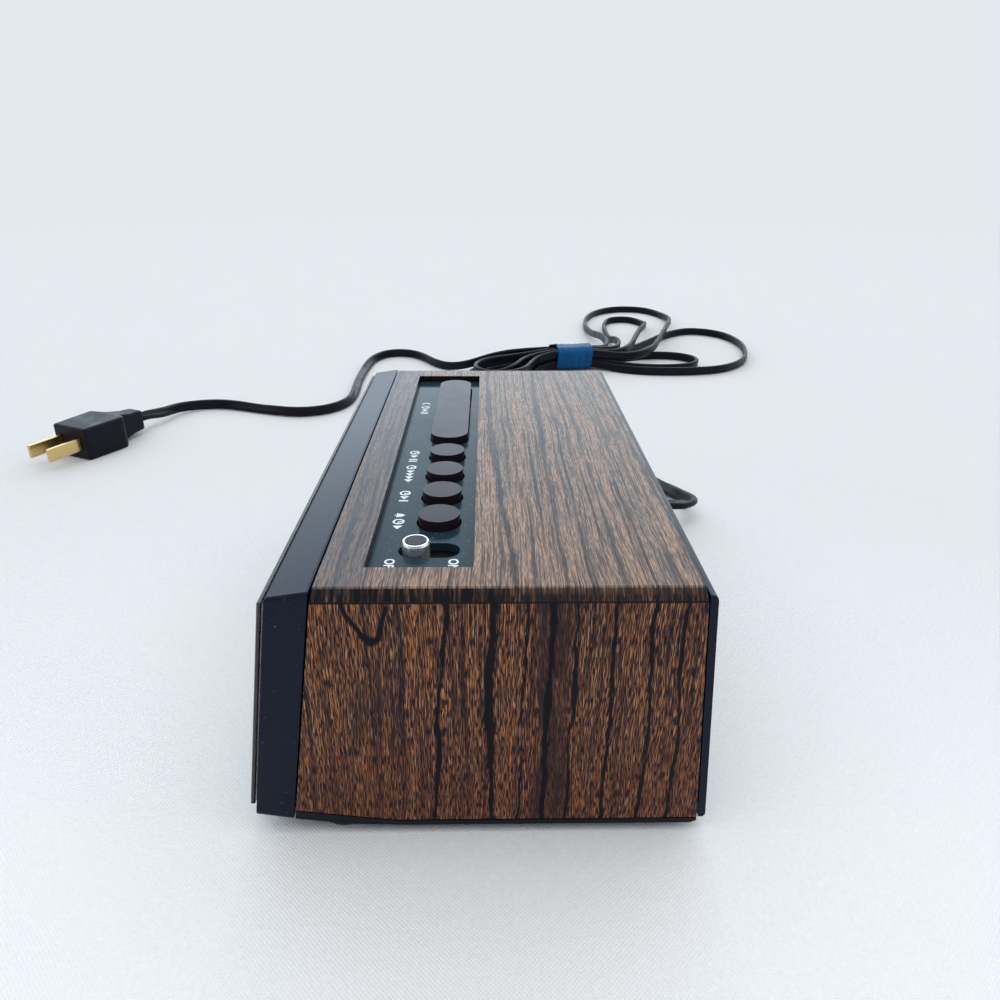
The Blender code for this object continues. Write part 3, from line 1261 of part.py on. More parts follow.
def make_lead(relief_end):
    """The lead's three stretches: to the hank, the hank itself, and on to the plug."""
    hank_curve = smooth_curve(hank_route(), 12)
    hank = spread_points(hank_curve, HANK_LOOPS * POINTS_PER_LOOP + HANK_END_POINTS, BEND_WEIGHT)
    hank = square_end(square_end(hank, True), False)
    tube("cord_hank", hank, CORD_PLASTIC, 1)
    print("cord_hank: length %.4f m, least gap to itself %.5f m" % (curve_length(hank), least_gap(hank)))

    outward = (Vector(hank[0]) - Vector(hank[1])).normalized()
    join = Vector(hank[0]) + outward * SEAT_GAP
    sleeve_end = Vector((RELIEF_X, relief_end + SEAT_GAP, RELIEF_Z))
    bend = [(RELIEF_X + x, relief_end + y, z) for x, y, z in POWER_BEND]
    power = stretch("power_cord", sleeve_end, Vector((0, 1, 0)), bend + list(POWER_ROUTE), join, -outward)

    outward = (Vector(hank[-1]) - Vector(hank[-2])).normalized()
    join = Vector(hank[-1]) + outward * SEAT_GAP
    plug_heading = Vector((math.cos(PLUG_HEADING), math.sin(PLUG_HEADING), 0))
    plug_start = Vector(PLUG_ROUTE[-1]) + plug_heading * PLUG_STRAIGHT_DIAMETERS * CORD_DIAMETER
    plug_start.z = PLUG_HEIGHT / 2
    plug = stretch("plug_cord", join, outward, PLUG_ROUTE[1:], plug_start, plug_heading)
    print("whole lead: %.4f m" % (curve_length(hank) + power + plug))
    return plug_start + plug_heading * SEAT_GAP, plug_heading


def stretch(name, start, start_heading, route, end, end_heading):
    """A free stretch of the lead, straight for one diameter at both ends."""
    first = start + start_heading * CORD_DIAMETER
    last = end - end_heading * CORD_DIAMETER
    curve = smooth_curve([tuple(first), *route, tuple(last)])
    count = int(curve_length(curve) / (CORD_STEP_DIAMETERS * CORD_DIAMETER)) + 2
    points = spread_points(curve, count, CORD_DIAMETER)
    points = np.vstack([np.array(start), points, np.array(end)])
    tube(name, points, CORD_PLASTIC, 2)
    length = curve_length(points)
    print("%s: length %.4f m" % (name, length))
    return length


def make_tie():
    """Band round the hank's waist, a rounded rectangle drawn out along the strands."""
    half_width = 1.5 * WAIST_COLUMN + CORD_DIAMETER / 2 + TIE_CLEARANCE
    bottom = TIE_WALL
    top = CORD_Z + WAIST_RISE + LAYER_RISE + CORD_DIAMETER / 2 + TIE_CLEARANCE
    middle = (top + bottom) / 2
    outer = rounded_rectangle(2 * (half_width + TIE_WALL), top - bottom + 2 * TIE_WALL, TIE_CORNER, 5)
    inner = rounded_rectangle(2 * half_width, top - bottom, TIE_CORNER - TIE_WALL, 5)
    tie = add_mesh("cord_tie", extruded(
        shifted(outer, 0, middle), -TIE_LENGTH / 2, TIE_LENGTH / 2, "Y"), TIE_BLUE)
    opening = add_cutter("tie_opening", extruded(
        shifted(inner, 0, middle), -TIE_LENGTH, TIE_LENGTH, "Y"))
    for item in (tie, opening):
        item.location = (WAIST_X, WAIST_Y, 0)
        item.rotation_euler = (0, 0, WAIST_TURN)
    boolean(tie, opening)
    smooth(tie)


def make_plug(start, heading):
    """Moulded plug: a tapered neck, a wider body and two flat blades."""
    frame = Matrix.Translation((start.x, start.y, 0)) @ Matrix.Rotation(
        math.atan2(heading.y, heading.x), 4, "Z")
    neck = PLUG_NECK_WIDTH / 2
    half = PLUG_WIDTH / 2
    body_start = PLUG_NECK_LENGTH
    end = body_start + PLUG_LENGTH
    plan = (
        (0, -neck), (body_start, -neck - PLUG_EDGE / 2), (body_start + PLUG_EDGE, -half + PLUG_EDGE),
        (body_start + 2 * PLUG_EDGE, -half), (end, -half + PLUG_EDGE / 2), (end, half - PLUG_EDGE / 2),
        (body_start + 2 * PLUG_EDGE, half), (body_start + PLUG_EDGE, half - PLUG_EDGE),
        (body_start, neck + PLUG_EDGE / 2), (0, neck),
    )
    body = add_mesh("plug_body", extruded(plan, 0, PLUG_HEIGHT, "Z"), CORD_PLASTIC)
    body.matrix_world = frame
    low = (PLUG_HEIGHT - PLUG_NECK_WIDTH) / 2
    side = (
        (-OVERRUN, low), (body_start / 2, low - PLUG_EDGE / 2), (body_start + 2 * PLUG_EDGE, 0),
        (end + OVERRUN, 0), (end + OVERRUN, PLUG_HEIGHT), (body_start + 2 * PLUG_EDGE, PLUG_HEIGHT),
        (body_start / 2, PLUG_HEIGHT - low + PLUG_EDGE / 2), (-OVERRUN, PLUG_HEIGHT - low),
    )
    taper = add_cutter("plug_taper", extruded(side, -PLUG_WIDTH, PLUG_WIDTH, "Y"))
    taper.matrix_world = frame
    boolean(body, taper, "INTERSECT")
    bevel(body, PLUG_EDGE / 2, 2, 30)

    middle = PLUG_HEIGHT / 2
    half_blade = BLADE_THICKNESS / 2
    for index, side_sign in enumerate((-1, 1), 1):
        y = side_sign * BLADE_SPACING / 2
        blade = add_mesh(f"plug_blade_{index}", block(
            (end - BLADE_ROOT + SEAT_GAP, y - half_blade, middle - BLADE_HEIGHT / 2),
            (end + BLADE_LENGTH, y + half_blade, middle + BLADE_HEIGHT / 2)), BRASS)
        blade.matrix_world = frame
        bevel(blade, BLADE_THICKNESS / 5, 1)
        socket = add_cutter("blade_socket", block(
            (end - BLADE_ROOT, y - half_blade - SEAT_GAP, middle - BLADE_HEIGHT / 2 - SEAT_GAP),
            (end + OVERRUN, y + half_blade + SEAT_GAP, middle + BLADE_HEIGHT / 2 + SEAT_GAP)))
        socket.matrix_world = frame
        boolean(body, socket)


def main():
    make_cabinet_shell()
    make_front_bezel()
    make_display_lens()
    make_rear_cover()
    make_base_tray()
    make_feet()
    make_case_screws()
    make_control_plate()
    make_keys()
    make_alarm_switch()
    make_key_board()
    make_main_board()
    make_display_module()
    make_transformer()
    make_speaker()
    relief_end = make_strain_relief()
    plug_start, plug_heading = make_lead(relief_end)
    make_tie()
    make_plug(plug_start, plug_heading)
    bpy.context.view_layer.update()


main()
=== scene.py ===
"""Dressed scene of a digital alarm clock: camera, lead, floor, light, finishes and printed marks.

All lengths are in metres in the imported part's own frame. The case stands on the floor at the
origin, the display faces -Y and the case's long side runs along X.
"""
import math

import bmesh
import bpy
import numpy as np
from mathutils import Matrix, Vector


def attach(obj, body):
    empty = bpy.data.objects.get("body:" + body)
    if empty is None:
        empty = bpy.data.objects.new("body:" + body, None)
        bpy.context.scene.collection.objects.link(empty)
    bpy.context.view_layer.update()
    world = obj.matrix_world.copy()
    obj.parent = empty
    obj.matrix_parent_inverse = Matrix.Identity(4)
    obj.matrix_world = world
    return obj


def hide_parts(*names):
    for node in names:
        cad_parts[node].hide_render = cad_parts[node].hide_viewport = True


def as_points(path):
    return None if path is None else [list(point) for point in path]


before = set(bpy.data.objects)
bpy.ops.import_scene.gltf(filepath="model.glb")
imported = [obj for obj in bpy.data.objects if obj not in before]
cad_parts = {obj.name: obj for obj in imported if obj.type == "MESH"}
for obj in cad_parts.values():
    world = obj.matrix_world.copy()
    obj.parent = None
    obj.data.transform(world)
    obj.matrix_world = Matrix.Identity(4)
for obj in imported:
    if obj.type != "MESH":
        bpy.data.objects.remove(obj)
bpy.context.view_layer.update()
MM = 0.001

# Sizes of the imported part, rounded where its source works them out
HALF_LENGTH = 0.080
HALF_DEPTH = 0.04985
CASE_TOP = 0.06242
FRONT_LEAN = math.radians(8.7)
LENS_BOTTOM = 0.00867
SEAT_GAP = 0.0003
PLATE_TOP = 0.06027
PRINT_GAP = 0.00001
PRINT_THICKNESS = 0.00003
DIGIT_FACE = 0.0041
WINDOW_CENTRE = 0.0268
CORD_WIDTH = 0.0056
CORD_THICKNESS = 0.0028
CORD_Z = 0.0030
RELIEF_END = (-0.069, 0.07019, 0.0105)
WAIST_X = -0.316
WAIST_Y = 0.060
WAIST_TURN = math.radians(8)
WAIST_HALF = 0.014
WAIST_COLUMN = 0.0070
LAYER_RISE = 0.0068
WAIST_RISE = 0.0017
SPINE_RADIUS = 0.034
SPINE_TURN = math.radians(38)
PLUG_HEIGHT = 0.016
PLUG_HEADING = math.radians(-25)

# The lead: its rings' distance, its room over the floor, and where the hank starts and ends along it
LEAD_STEP = 0.003
LEAD_FLOOR_GAP = 0.0002
HANK_START = 0.195
HANK_TO_END = 0.33
STRANDS_DRAWN_IN = 0.40


# Camera: the photograph's place and angle, solved from the case's edges
def make_camera():
    place = Vector((0.20166, 0.00180, 0.13797))
    yaw, pitch, roll = math.radians(1.06), math.radians(24.85), math.radians(0.34)
    forward = Vector((
        -math.cos(yaw) * math.cos(pitch), math.sin(yaw) * math.cos(pitch), -math.sin(pitch)))
    right = forward.cross(Vector((0, 0, 1))).normalized()
    up = right.cross(forward)
    across = right * math.cos(roll) + up * math.sin(roll)
    upward = up * math.cos(roll) - right * math.sin(roll)
    data = bpy.data.cameras.new("photo_camera")
    data.sensor_fit = "HORIZONTAL"
    data.sensor_width = 36.0
    data.lens = 27.16
    data.clip_start = 0.005
    camera = bpy.data.objects.new("photo_camera", data)
    turn = Matrix((across, upward, -forward)).transposed()
    camera.matrix_world = Matrix.Translation(place) @ turn.to_4x4()
    bpy.context.collection.objects.link(camera)
    bpy.context.scene.camera = camera


make_camera()


# Meshes
def new_object(name, vertices, faces, material=None):
    mesh = bpy.data.meshes.new(name)
    mesh.from_pydata([tuple(vertex) for vertex in vertices], [], faces)
    mesh.update()
    item = bpy.data.objects.new(name, mesh)
    bpy.context.collection.objects.link(item)
    if material:
        mesh.materials.append(material)
    mesh.polygons.foreach_set("use_smooth", [True] * len(mesh.polygons))
    return item


def swept(name, rings):
    """A skin through rings that have the same number of points, with a cap at each end."""
    count = len(rings[0])
    vertices = [point for ring in rings for point in ring]
    faces = []
    for index in range(len(rings) - 1):
        first = index * count
        second = first + count
        for side in range(count):
            turn = (side + 1) % count
            faces.append((first + side, first + turn, second + turn, second + side))
    faces.append(tuple(range(count))[::-1])
    faces.append(tuple(range(len(vertices) - count, len(vertices))))
    return new_object(name, vertices, faces)


# The lead's route, from the part's source
POWER_BEND = (
    (-0.0032, 0.0134, 0.0092),
    (-0.0110, 0.0166, 0.0068),
    (-0.0190, 0.0152, 0.0048),
    (-0.0300, 0.0118, 0.0034),
)
POWER_ROUTE = (
    (-0.1120, 0.0770, CORD_Z),
    (-0.1300, 0.0710, CORD_Z),
    (-0.1560, 0.0620, CORD_Z),
    (-0.1880, 0.0520, CORD_Z),
    (-0.2150, 0.0440, CORD_Z),
)
PLUG_ROUTE = (
    (-0.3090, -0.0240, CORD_Z),
    (-0.3190, -0.0345, CORD_Z),
    (-0.3340, -0.0430, CORD_Z),
    (-0.3465, -0.0555, CORD_Z),
    (-0.3455, -0.0700, CORD_Z),
    (-0.3300, -0.0785, CORD_Z),
    (-0.3050, -0.0815, CORD_Z),
    (-0.2740, -0.0815, CORD_Z),
    (-0.2450, -0.0795, CORD_Z),
    (-0.2260, -0.0810, CORD_Z),
    (-0.2130, -0.0910, CORD_Z),
    (-0.2090, -0.1060, CORD_Z),
    (-0.2140, -0.1220, CORD_Z),
    (-0.2200, -0.1380, CORD_Z),
    (-0.2240, -0.1530, CORD_Z),
    (-0.2220, -0.1665, CORD_Z),
    (-0.2130, -0.1745, 0.0042),
    (-0.1985, -0.1765, 0.0062),
)
OUTER_LOW = (
    (-0.3030, 0.0900), (-0.2975, 0.1130), (-0.2970, 0.1380), (-0.3030, 0.1620), (-0.3220, 0.1820),
    (-0.3520, 0.1940), (-0.3860, 0.1975), (-0.4120, 0.1890), (-0.4220, 0.1690), (-0.4080, 0.1480),
    (-0.3840, 0.1290), (-0.3600, 0.1110), (-0.3420, 0.0935),
)
INNER_LOW = (
    (-0.3113, 0.0900), (-0.3060, 0.1080), (-0.3050, 0.1260), (-0.3100, 0.1430), (-0.3240, 0.1510),
    (-0.3370, 0.1420), (-0.3410, 0.1260), (-0.3370, 0.1080), (-0.3280, 0.0900),
)
INNER_HIGH = (
    (-0.3180, 0.0880), (-0.3270, 0.0985), (-0.3440, 0.1070), (-0.3680, 0.1140), (-0.3960, 0.1230),
    (-0.4240, 0.1320), (-0.4500, 0.1360), (-0.4690, 0.1260), (-0.4660, 0.1100), (-0.4460, 0.1020),
    (-0.4180, 0.0990), (-0.3900, 0.0985), (-0.3670, 0.0990), (-0.3470, 0.0985), (-0.3315, 0.0925),
)
OUTER_HIGH = (
    (-0.3085, 0.0930), (-0.3160, 0.1075), (-0.3320, 0.1195), (-0.3560, 0.1290), (-0.3860, 0.1390),
    (-0.4180, 0.1500), (-0.4520, 0.1590), (-0.4860, 0.1600), (-0.5120, 0.1470), (-0.5160, 0.1240),
    (-0.5000, 0.1030), (-0.4720, 0.0900), (-0.4380, 0.0850), (-0.4040, 0.0860), (-0.3740, 0.0890),
    (-0.3500, 0.0900), (-0.3350, 0.0850),
)
LEFT_OUTER_LOW = (
    (0.014, -0.0106), (0.025, -0.0130), (0.036, -0.0170), (0.047, -0.0195), (0.058, -0.0165),
    (0.065, -0.0070), (0.066, 0.0045), (0.061, 0.0130), (0.051, 0.0155), (0.040, 0.0115),
    (0.030, 0.0065), (0.021, 0.0040), (0.014, 0.0035),
)
LEFT_INNER = (
    (0.014, -0.0036), (0.025, -0.0060), (0.035, -0.0100), (0.045, -0.0120), (0.054, -0.0080),
    (0.058, 0.0010), (0.0545, 0.0090), (0.046, 0.0115), (0.037, 0.0085), (0.029, 0.0055),
    (0.021, 0.0040), (0.014, 0.0035),
)
LEFT_OUTER_HIGH = (
    (0.014, -0.0036), (0.025, -0.0060), (0.038, -0.0105), (0.051, -0.0120), (0.062, -0.0075),
    (0.0685, 0.0035), (0.0655, 0.0150), (0.055, 0.0220), (0.043, 0.0205), (0.032, 0.0150),
    (0.022, 0.0115), (0.014, 0.0106),
)
LEAD_IN = ((-0.2470, 0.0370), (-0.2600, 0.0345), (-0.2730, 0.0330), (-0.2850, 0.0330), (-0.2960, 0.0370))
LEAD_OUT = (
    (-0.3222, 0.0300, 0.0105), (-0.3160, 0.0150, 0.0100), (-0.3090, 0.0020, 0.0088),
    (-0.3062, -0.0110, 0.0052),
)


def waist_place(along, column, row):
    across = (1.5 - column) * WAIST_COLUMN
    x = WAIST_X - along * math.sin(WAIST_TURN) + across * math.cos(WAIST_TURN)
    y = WAIST_Y + along * math.cos(WAIST_TURN) + across * math.sin(WAIST_TURN)
    return (x, y, CORD_Z + WAIST_RISE + row * LAYER_RISE)


def spine_place(distance, offset, height):
    heading = -math.pi / 2 + WAIST_TURN
    start = waist_place(-WAIST_HALF, 1.5, 0)
    centre_x = start[0] + SPINE_RADIUS * math.cos(heading + math.pi / 2)
    centre_y = start[1] + SPINE_RADIUS * math.sin(heading + math.pi / 2)
    turned_by = min(distance / SPINE_RADIUS, SPINE_TURN)
    beyond = max(0.0, distance - SPINE_RADIUS * SPINE_TURN)
    angle = heading + turned_by
    radius = SPINE_RADIUS - offset
    x = centre_x + radius * math.cos(angle - math.pi / 2) + beyond * math.cos(angle)
    y = centre_y + radius * math.sin(angle - math.pi / 2) + beyond * math.sin(angle)
    return (x, y, height)


def waist_run(column, row, direction):
    return [waist_place(direction * share * WAIST_HALF, column, row) for share in (-1, -0.4, 0.4, 1)]


def left_lobe(points, heights):
    count = len(points) - 1
    return [spine_place(distance, offset, heights(index / count))
            for index, (distance, offset) in enumerate(points)]


def laid(points, heights):
    count = len(points) - 1
    return [(x, y, heights(index / count)) for index, (x, y) in enumerate(points)]


def hank_route():
    """One unbroken run: in on the floor, out and back through the waist, and out on top."""
    def low(_):
        return CORD_Z

    def upper(_):
        return CORD_Z + LAYER_RISE

    def climbing(share):
        """From the floor to the second layer, about the middle of the lobe."""
        return CORD_Z + LAYER_RISE * min(1.0, max(0.0, (share - 0.32) / 0.36))

    def dipping(share):
        """Down from the second layer, along the floor, and up again near the lobe's end."""
        down_by, up_from, slope = 0.42, 0.78, 0.10
        rise = max((down_by - share) / slope, (share - up_from) / slope)
        return CORD_Z + LAYER_RISE * min(1.0, max(0.0, rise))

    route = [(x, y, CORD_Z) for x, y in LEAD_IN]
    route += waist_run(0, 0, 1) + laid(OUTER_LOW, low) + waist_run(3, 0, -1)
    route += left_lobe(LEFT_OUTER_LOW, low)
    route += waist_run(1, 0, 1) + laid(INNER_LOW, low) + waist_run(2, 0, -1)
    route += left_lobe(LEFT_INNER, climbing)
    route += waist_run(1, 1, 1) + laid(INNER_HIGH, dipping) + waist_run(2, 1, -1)
    route += left_lobe(LEFT_OUTER_HIGH, upper)
    route += waist_run(0, 1, 1) + laid(OUTER_HIGH, dipping) + waist_run(3, 1, -1)
    return route + list(LEAD_OUT)


def smooth_curve(points, samples=12):
    """A centripetal curve through the points."""
    places = [np.array(point, dtype=float) for point in points]
    places = [2 * places[0] - places[1]] + places + [2 * places[-1] - places[-2]]
    curve = []
    for index in range(1, len(places) - 2):
        p0, p1, p2, p3 = places[index - 1:index + 3]
        t0 = 0.0
        t1 = t0 + math.sqrt(np.linalg.norm(p1 - p0))
        t2 = t1 + math.sqrt(np.linalg.norm(p2 - p1))
        t3 = t2 + math.sqrt(np.linalg.norm(p3 - p2))
        for step in range(samples):
            t = t1 + (t2 - t1) * step / samples
            a1 = (t1 - t) / (t1 - t0) * p0 + (t - t0) / (t1 - t0) * p1
            a2 = (t2 - t) / (t2 - t1) * p1 + (t - t1) / (t2 - t1) * p2
            a3 = (t3 - t) / (t3 - t2) * p2 + (t - t2) / (t3 - t2) * p3
            b1 = (t2 - t) / (t2 - t0) * a1 + (t - t0) / (t2 - t0) * a2
            b2 = (t3 - t) / (t3 - t1) * a2 + (t - t1) / (t3 - t1) * a3
            curve.append((t2 - t) / (t2 - t1) * b1 + (t - t1) / (t2 - t1) * b2)
    curve.append(places[-2])
    return np.array(curve)


def evenly(curve, step):
    lengths = np.concatenate([[0], np.cumsum(np.linalg.norm(np.diff(curve, axis=0), axis=1))])
    count = int(round(lengths[-1] / step)) + 1
    wanted = np.linspace(0, lengths[-1], count)
    return np.stack([np.interp(wanted, lengths, curve[:, axis]) for axis in range(3)], axis=1)


def eased(values, width):
    """The values averaged over a bell-shaped window, with the ends held."""
    reach = int(3 * width)
    bell = np.exp(-0.5 * (np.arange(-reach, reach + 1) / width) ** 2)
    padded = np.concatenate([[values[0]] * reach, values, [values[-1]] * reach])
    return np.convolve(padded, bell / bell.sum(), mode="valid")


def fading(distance, core, fade):
    """One within the core, and smoothly down to nothing beyond it."""
    share = min(1.0, max(0.0, (abs(distance) - core) / fade))
    return 1 - share * share * (3 - 2 * share)


def drawn_in(points):
    """The strands beside each other in the tie are closer than the round solids can lie."""
    tie_core, fade_along, fade_across = 0.013, 0.032, 0.014
    for point in points:
        dx, dy = point[0] - WAIST_X, point[1] - WAIST_Y
        along = -dx * math.sin(WAIST_TURN) + dy * math.cos(WAIST_TURN)
        across = dx * math.cos(WAIST_TURN) + dy * math.sin(WAIST_TURN)
        pull = STRANDS_DRAWN_IN * fading(along, tie_core, fade_along) * fading(across, tie_core, fade_across)
        point[0] -= across * pull * math.cos(WAIST_TURN)
        point[1] -= across * pull * math.sin(WAIST_TURN)
    return points


def make_lead():
    """A flat two-core lead: it stands on edge where it bends, and lies flat where it runs straight."""
    plug_way = np.array((math.cos(PLUG_HEADING), math.sin(PLUG_HEADING), 0.0))
    last = np.array(PLUG_ROUTE[-1]) + plug_way * 3 * CORD_WIDTH
    last[2] = PLUG_HEIGHT / 2
    start = np.array(RELIEF_END) + np.array((0, SEAT_GAP, 0))
    route = [tuple(start), tuple(start + np.array((0, CORD_WIDTH, 0)))]
    route += [(RELIEF_END[0] + x, RELIEF_END[1] + y, z) for x, y, z in POWER_BEND]
    route += list(POWER_ROUTE) + hank_route() + list(PLUG_ROUTE)
    route += [tuple(last - plug_way * CORD_WIDTH), tuple(last)]
    points = drawn_in(evenly(smooth_curve(route), LEAD_STEP))
    held = 4
    smoothed = np.stack([eased(points[:, axis], 1.6) for axis in range(3)], axis=1)
    points[held:-held] = smoothed[held:-held]
    step = float(np.linalg.norm(np.diff(points, axis=0), axis=1).mean())
    heading = np.gradient(points[:, :2], axis=0)
    angle = np.unwrap(np.arctan2(heading[:, 1], heading[:, 0]))

    # How far the lead is turned on its edge: bends are in radians for each metre
    flat_until, on_edge_from = 5.0, 19.0
    bend_blur, turn_blur = 0.010, 0.013
    flat_exit, exit_turn = 0.010, 0.020
    sway, sway_rate = 0.12, 45
    bend = eased(np.abs(np.gradient(angle)) / step, bend_blur / step)
    on_edge = np.clip((bend - flat_until) / (on_edge_from - flat_until), 0, 1)
    along = np.arange(len(points)) * step
    in_hank = (along > HANK_START) & (along < along[-1] - HANK_TO_END)
    on_edge = eased(np.where(in_hank, 1.0, on_edge), turn_blur / step)
    on_edge *= np.clip((along - flat_exit) / exit_turn, 0, 1)
    rolls = on_edge * math.pi / 2 + np.where(in_hank, sway * np.sin(along * sway_rate), 0.0)

    # Two round cores side by side
    radius = CORD_THICKNESS / 2
    spread = (CORD_WIDTH - CORD_THICKNESS) / 2
    half_arc = 125
    arc = [math.radians(-half_arc + 2 * half_arc * index / 7) for index in range(8)]
    section = [(spread + radius * math.cos(a), radius * math.sin(a)) for a in arc]
    section += [(-spread - radius * math.cos(a), -radius * math.sin(a)) for a in arc]

    # What lies on the floor rests on its own lowest edge
    leaves_floor, lies_on_floor = 0.0050, 0.0035
    on_floor = np.clip((leaves_floor - points[:, 2]) / (leaves_floor - lies_on_floor), 0, 1)
    on_floor[in_hank] = 1.0
    half_height = radius + spread * np.abs(np.sin(rolls))
    points[:, 2] += eased(on_floor, 3.0) * (half_height + LEAD_FLOOR_GAP - CORD_Z)
    rings = []
    for index, point in enumerate(points):
        before, after = points[max(0, index - 1)], points[min(len(points) - 1, index + 1)]
        forward = Vector(after - before).normalized()
        side = forward.cross(Vector((0, 0, 1))).normalized()
        over = side.cross(forward)
        wide = side * math.cos(rolls[index]) + over * math.sin(rolls[index])
        thin = forward.cross(wide)
        rings.append([Vector(point) + wide * u + thin * v for u, v in section])
    cord = swept("power_lead", rings)
    total = float(np.linalg.norm(np.diff(points, axis=0), axis=1).sum())
    print("lead: %.4f m" % total)
    return cord, [tuple(point) for point in points], total


lead, LEAD_POINTS, LEAD_LENGTH = make_lead()


def make_tie():
    """Flat blue band wound five times round the waist, each turn a little over the last."""
    side_room, top_room = 0.0008, 0.0006
    half_width = 1.5 * WAIST_COLUMN * (1 - STRANDS_DRAWN_IN) + CORD_THICKNESS / 2 + side_room
    low, high = 0.0019, CORD_Z + WAIST_RISE + LAYER_RISE + CORD_WIDTH / 2 + top_room
    corner = 0.0046
    turns, per_turn, first_turn = 5, 44, 0.30
    pitch, band, thick = 0.0046, 0.0056, 0.0009
    wave, edge_rise = 0.00016, 0.00022
    section = ((-1, -0.6), (-1, 0.6), (-0.7, 1), (0.7, 1), (1, 0.6), (1, -0.6), (0.7, -1), (-0.7, -1))
    outline = []
    for quarter in range(4):
        sign_x = 1 if quarter in (0, 3) else -1
        sign_z = 1 if quarter in (0, 1) else -1
        for index in range(7):
            turn = quarter * math.pi / 2 + index / 6 * math.pi / 2
            outline.append((
                sign_x * (half_width - corner) + corner * math.cos(turn),
                (low + high) / 2 + sign_z * ((high - low) / 2 - corner) + corner * math.sin(turn)))
    outline = np.array(outline + outline[:1])
    lengths = np.concatenate([[0], np.cumsum(np.linalg.norm(np.diff(outline, axis=0), axis=1))])

    def around(share):
        at = (share % 1.0) * lengths[-1]
        return np.array([np.interp(at, lengths, outline[:, axis]) for axis in range(2)])

    frame_turn = Matrix.Translation((WAIST_X, WAIST_Y, 0)) @ Matrix.Rotation(WAIST_TURN, 4, "Z")
    rings = []
    count = turns * per_turn
    for index in range(count + 1):
        share = index / per_turn + first_turn
        here, ahead = around(share), around(share + 0.01)
        run = (ahead - here) / np.linalg.norm(ahead - here)
        out = np.array((run[1], -run[0]))
        lift = wave * (1 + math.sin(share * 5.1)) + 0.0001
        centre = index / per_turn * pitch - turns * pitch / 2
        ring = []
        for u, v in section:
            edge_lift = lift + edge_rise * u
            place = here + out * (thick / 2 + v * thick / 2 + edge_lift)
            ring.append(frame_turn @ Vector((place[0], centre + u * band / 2, place[1])))
        rings.append(ring)
    return swept("blue_tie_band", rings)


tie_band = make_tie()


class Finish:
    """One material and short calls for its nodes."""

    def __init__(self, name, roughness=0.4, metallic=0.0, **levels):
        self.material = bpy.data.materials.new(name)
        self.material.use_nodes = True
        self.tree = self.material.node_tree
        self.tree.nodes.clear()
        end = self.new("ShaderNodeOutputMaterial")
        self.shader = self.new("ShaderNodeBsdfPrincipled")
        self.tree.links.new(self.shader.outputs[0], end.inputs[0])
        self.place = self.new("ShaderNodeTexCoord").outputs["Object"]
        self.set("Roughness", roughness)
        self.set("Metallic", metallic)
        for label, value in levels.items():
            self.set(label.replace("_", " "), value)

    def new(self, kind):
        return self.tree.nodes.new(kind)

    def feed(self, socket, value):
        if isinstance(value, bpy.types.NodeSocket):
            self.tree.links.new(value, socket)
        elif isinstance(value, tuple) and len(value) == 3 and len(socket.default_value) == 4:
            socket.default_value = (*value, 1.0)
        else:
            socket.default_value = value

    def set(self, label, value):
        self.feed(self.shader.inputs[label], value)

    def calc(self, operation, first, second=0.0, third=0.0):
        node = self.new("ShaderNodeMath")
        node.operation = operation
        for socket, value in zip(node.inputs, (first, second, third)):
            self.feed(socket, value)
        return node.outputs[0]

    def times(self, first, second):
        return self.calc("MULTIPLY", first, second)

    def plus(self, first, second):
        return self.calc("ADD", first, second)

    def minus(self, first, second):
        return self.calc("SUBTRACT", first, second)

    def most(self, first, second):
        return self.calc("MAXIMUM", first, second)

    def from_line(self, value, line):
        return self.calc("ABSOLUTE", self.minus(value, line))

    def far(self, first, second):
        return self.calc("SQRT", self.plus(self.times(first, first), self.times(second, second)))

    def axes(self):
        node = self.new("ShaderNodeSeparateXYZ")
        self.feed(node.inputs[0], self.place)
        return node.outputs[0], node.outputs[1], node.outputs[2]

    def joined(self, x, y, z):
        node = self.new("ShaderNodeCombineXYZ")
        for socket, value in zip(node.inputs, (x, y, z)):
            self.feed(socket, value)
        return node.outputs[0]

    def scaled(self, place, scale, shift=(0.0, 0.0, 0.0)):
        node = self.new("ShaderNodeMapping")
        self.feed(node.inputs["Vector"], place)
        node.inputs["Scale"].default_value = scale
        node.inputs["Location"].default_value = shift
        return node.outputs[0]

    def noise(self, place, scale, detail=3.0, rough=0.5, warp=0.0):
        node = self.new("ShaderNodeTexNoise")
        self.feed(node.inputs["Vector"], place)
        node.inputs["Scale"].default_value = scale
        node.inputs["Detail"].default_value = detail
        node.inputs["Roughness"].default_value = rough
        node.inputs["Distortion"].default_value = warp
        return node.outputs[0]

    def step(self, value, low, high, start=0.0, end=1.0):
        node = self.new("ShaderNodeMapRange")
        node.interpolation_type = "SMOOTHSTEP"
        for label, level in (("From Min", low), ("From Max", high), ("To Min", start), ("To Max", end)):
            node.inputs[label].default_value = level
        self.feed(node.inputs["Value"], value)
        return node.outputs["Result"]

    def mix(self, share, first, second):
        node = self.new("ShaderNodeMix")
        node.data_type = "RGBA"
        self.feed(node.inputs["Factor"], share)
        self.feed(node.inputs[6], first)
        self.feed(node.inputs[7], second)
        return node.outputs[2]

    def bump(self, height, distance, strength):
        node = self.new("ShaderNodeBump")
        node.inputs["Strength"].default_value = strength
        node.inputs["Distance"].default_value = distance
        self.feed(node.inputs["Height"], height)
        return node.outputs[0]


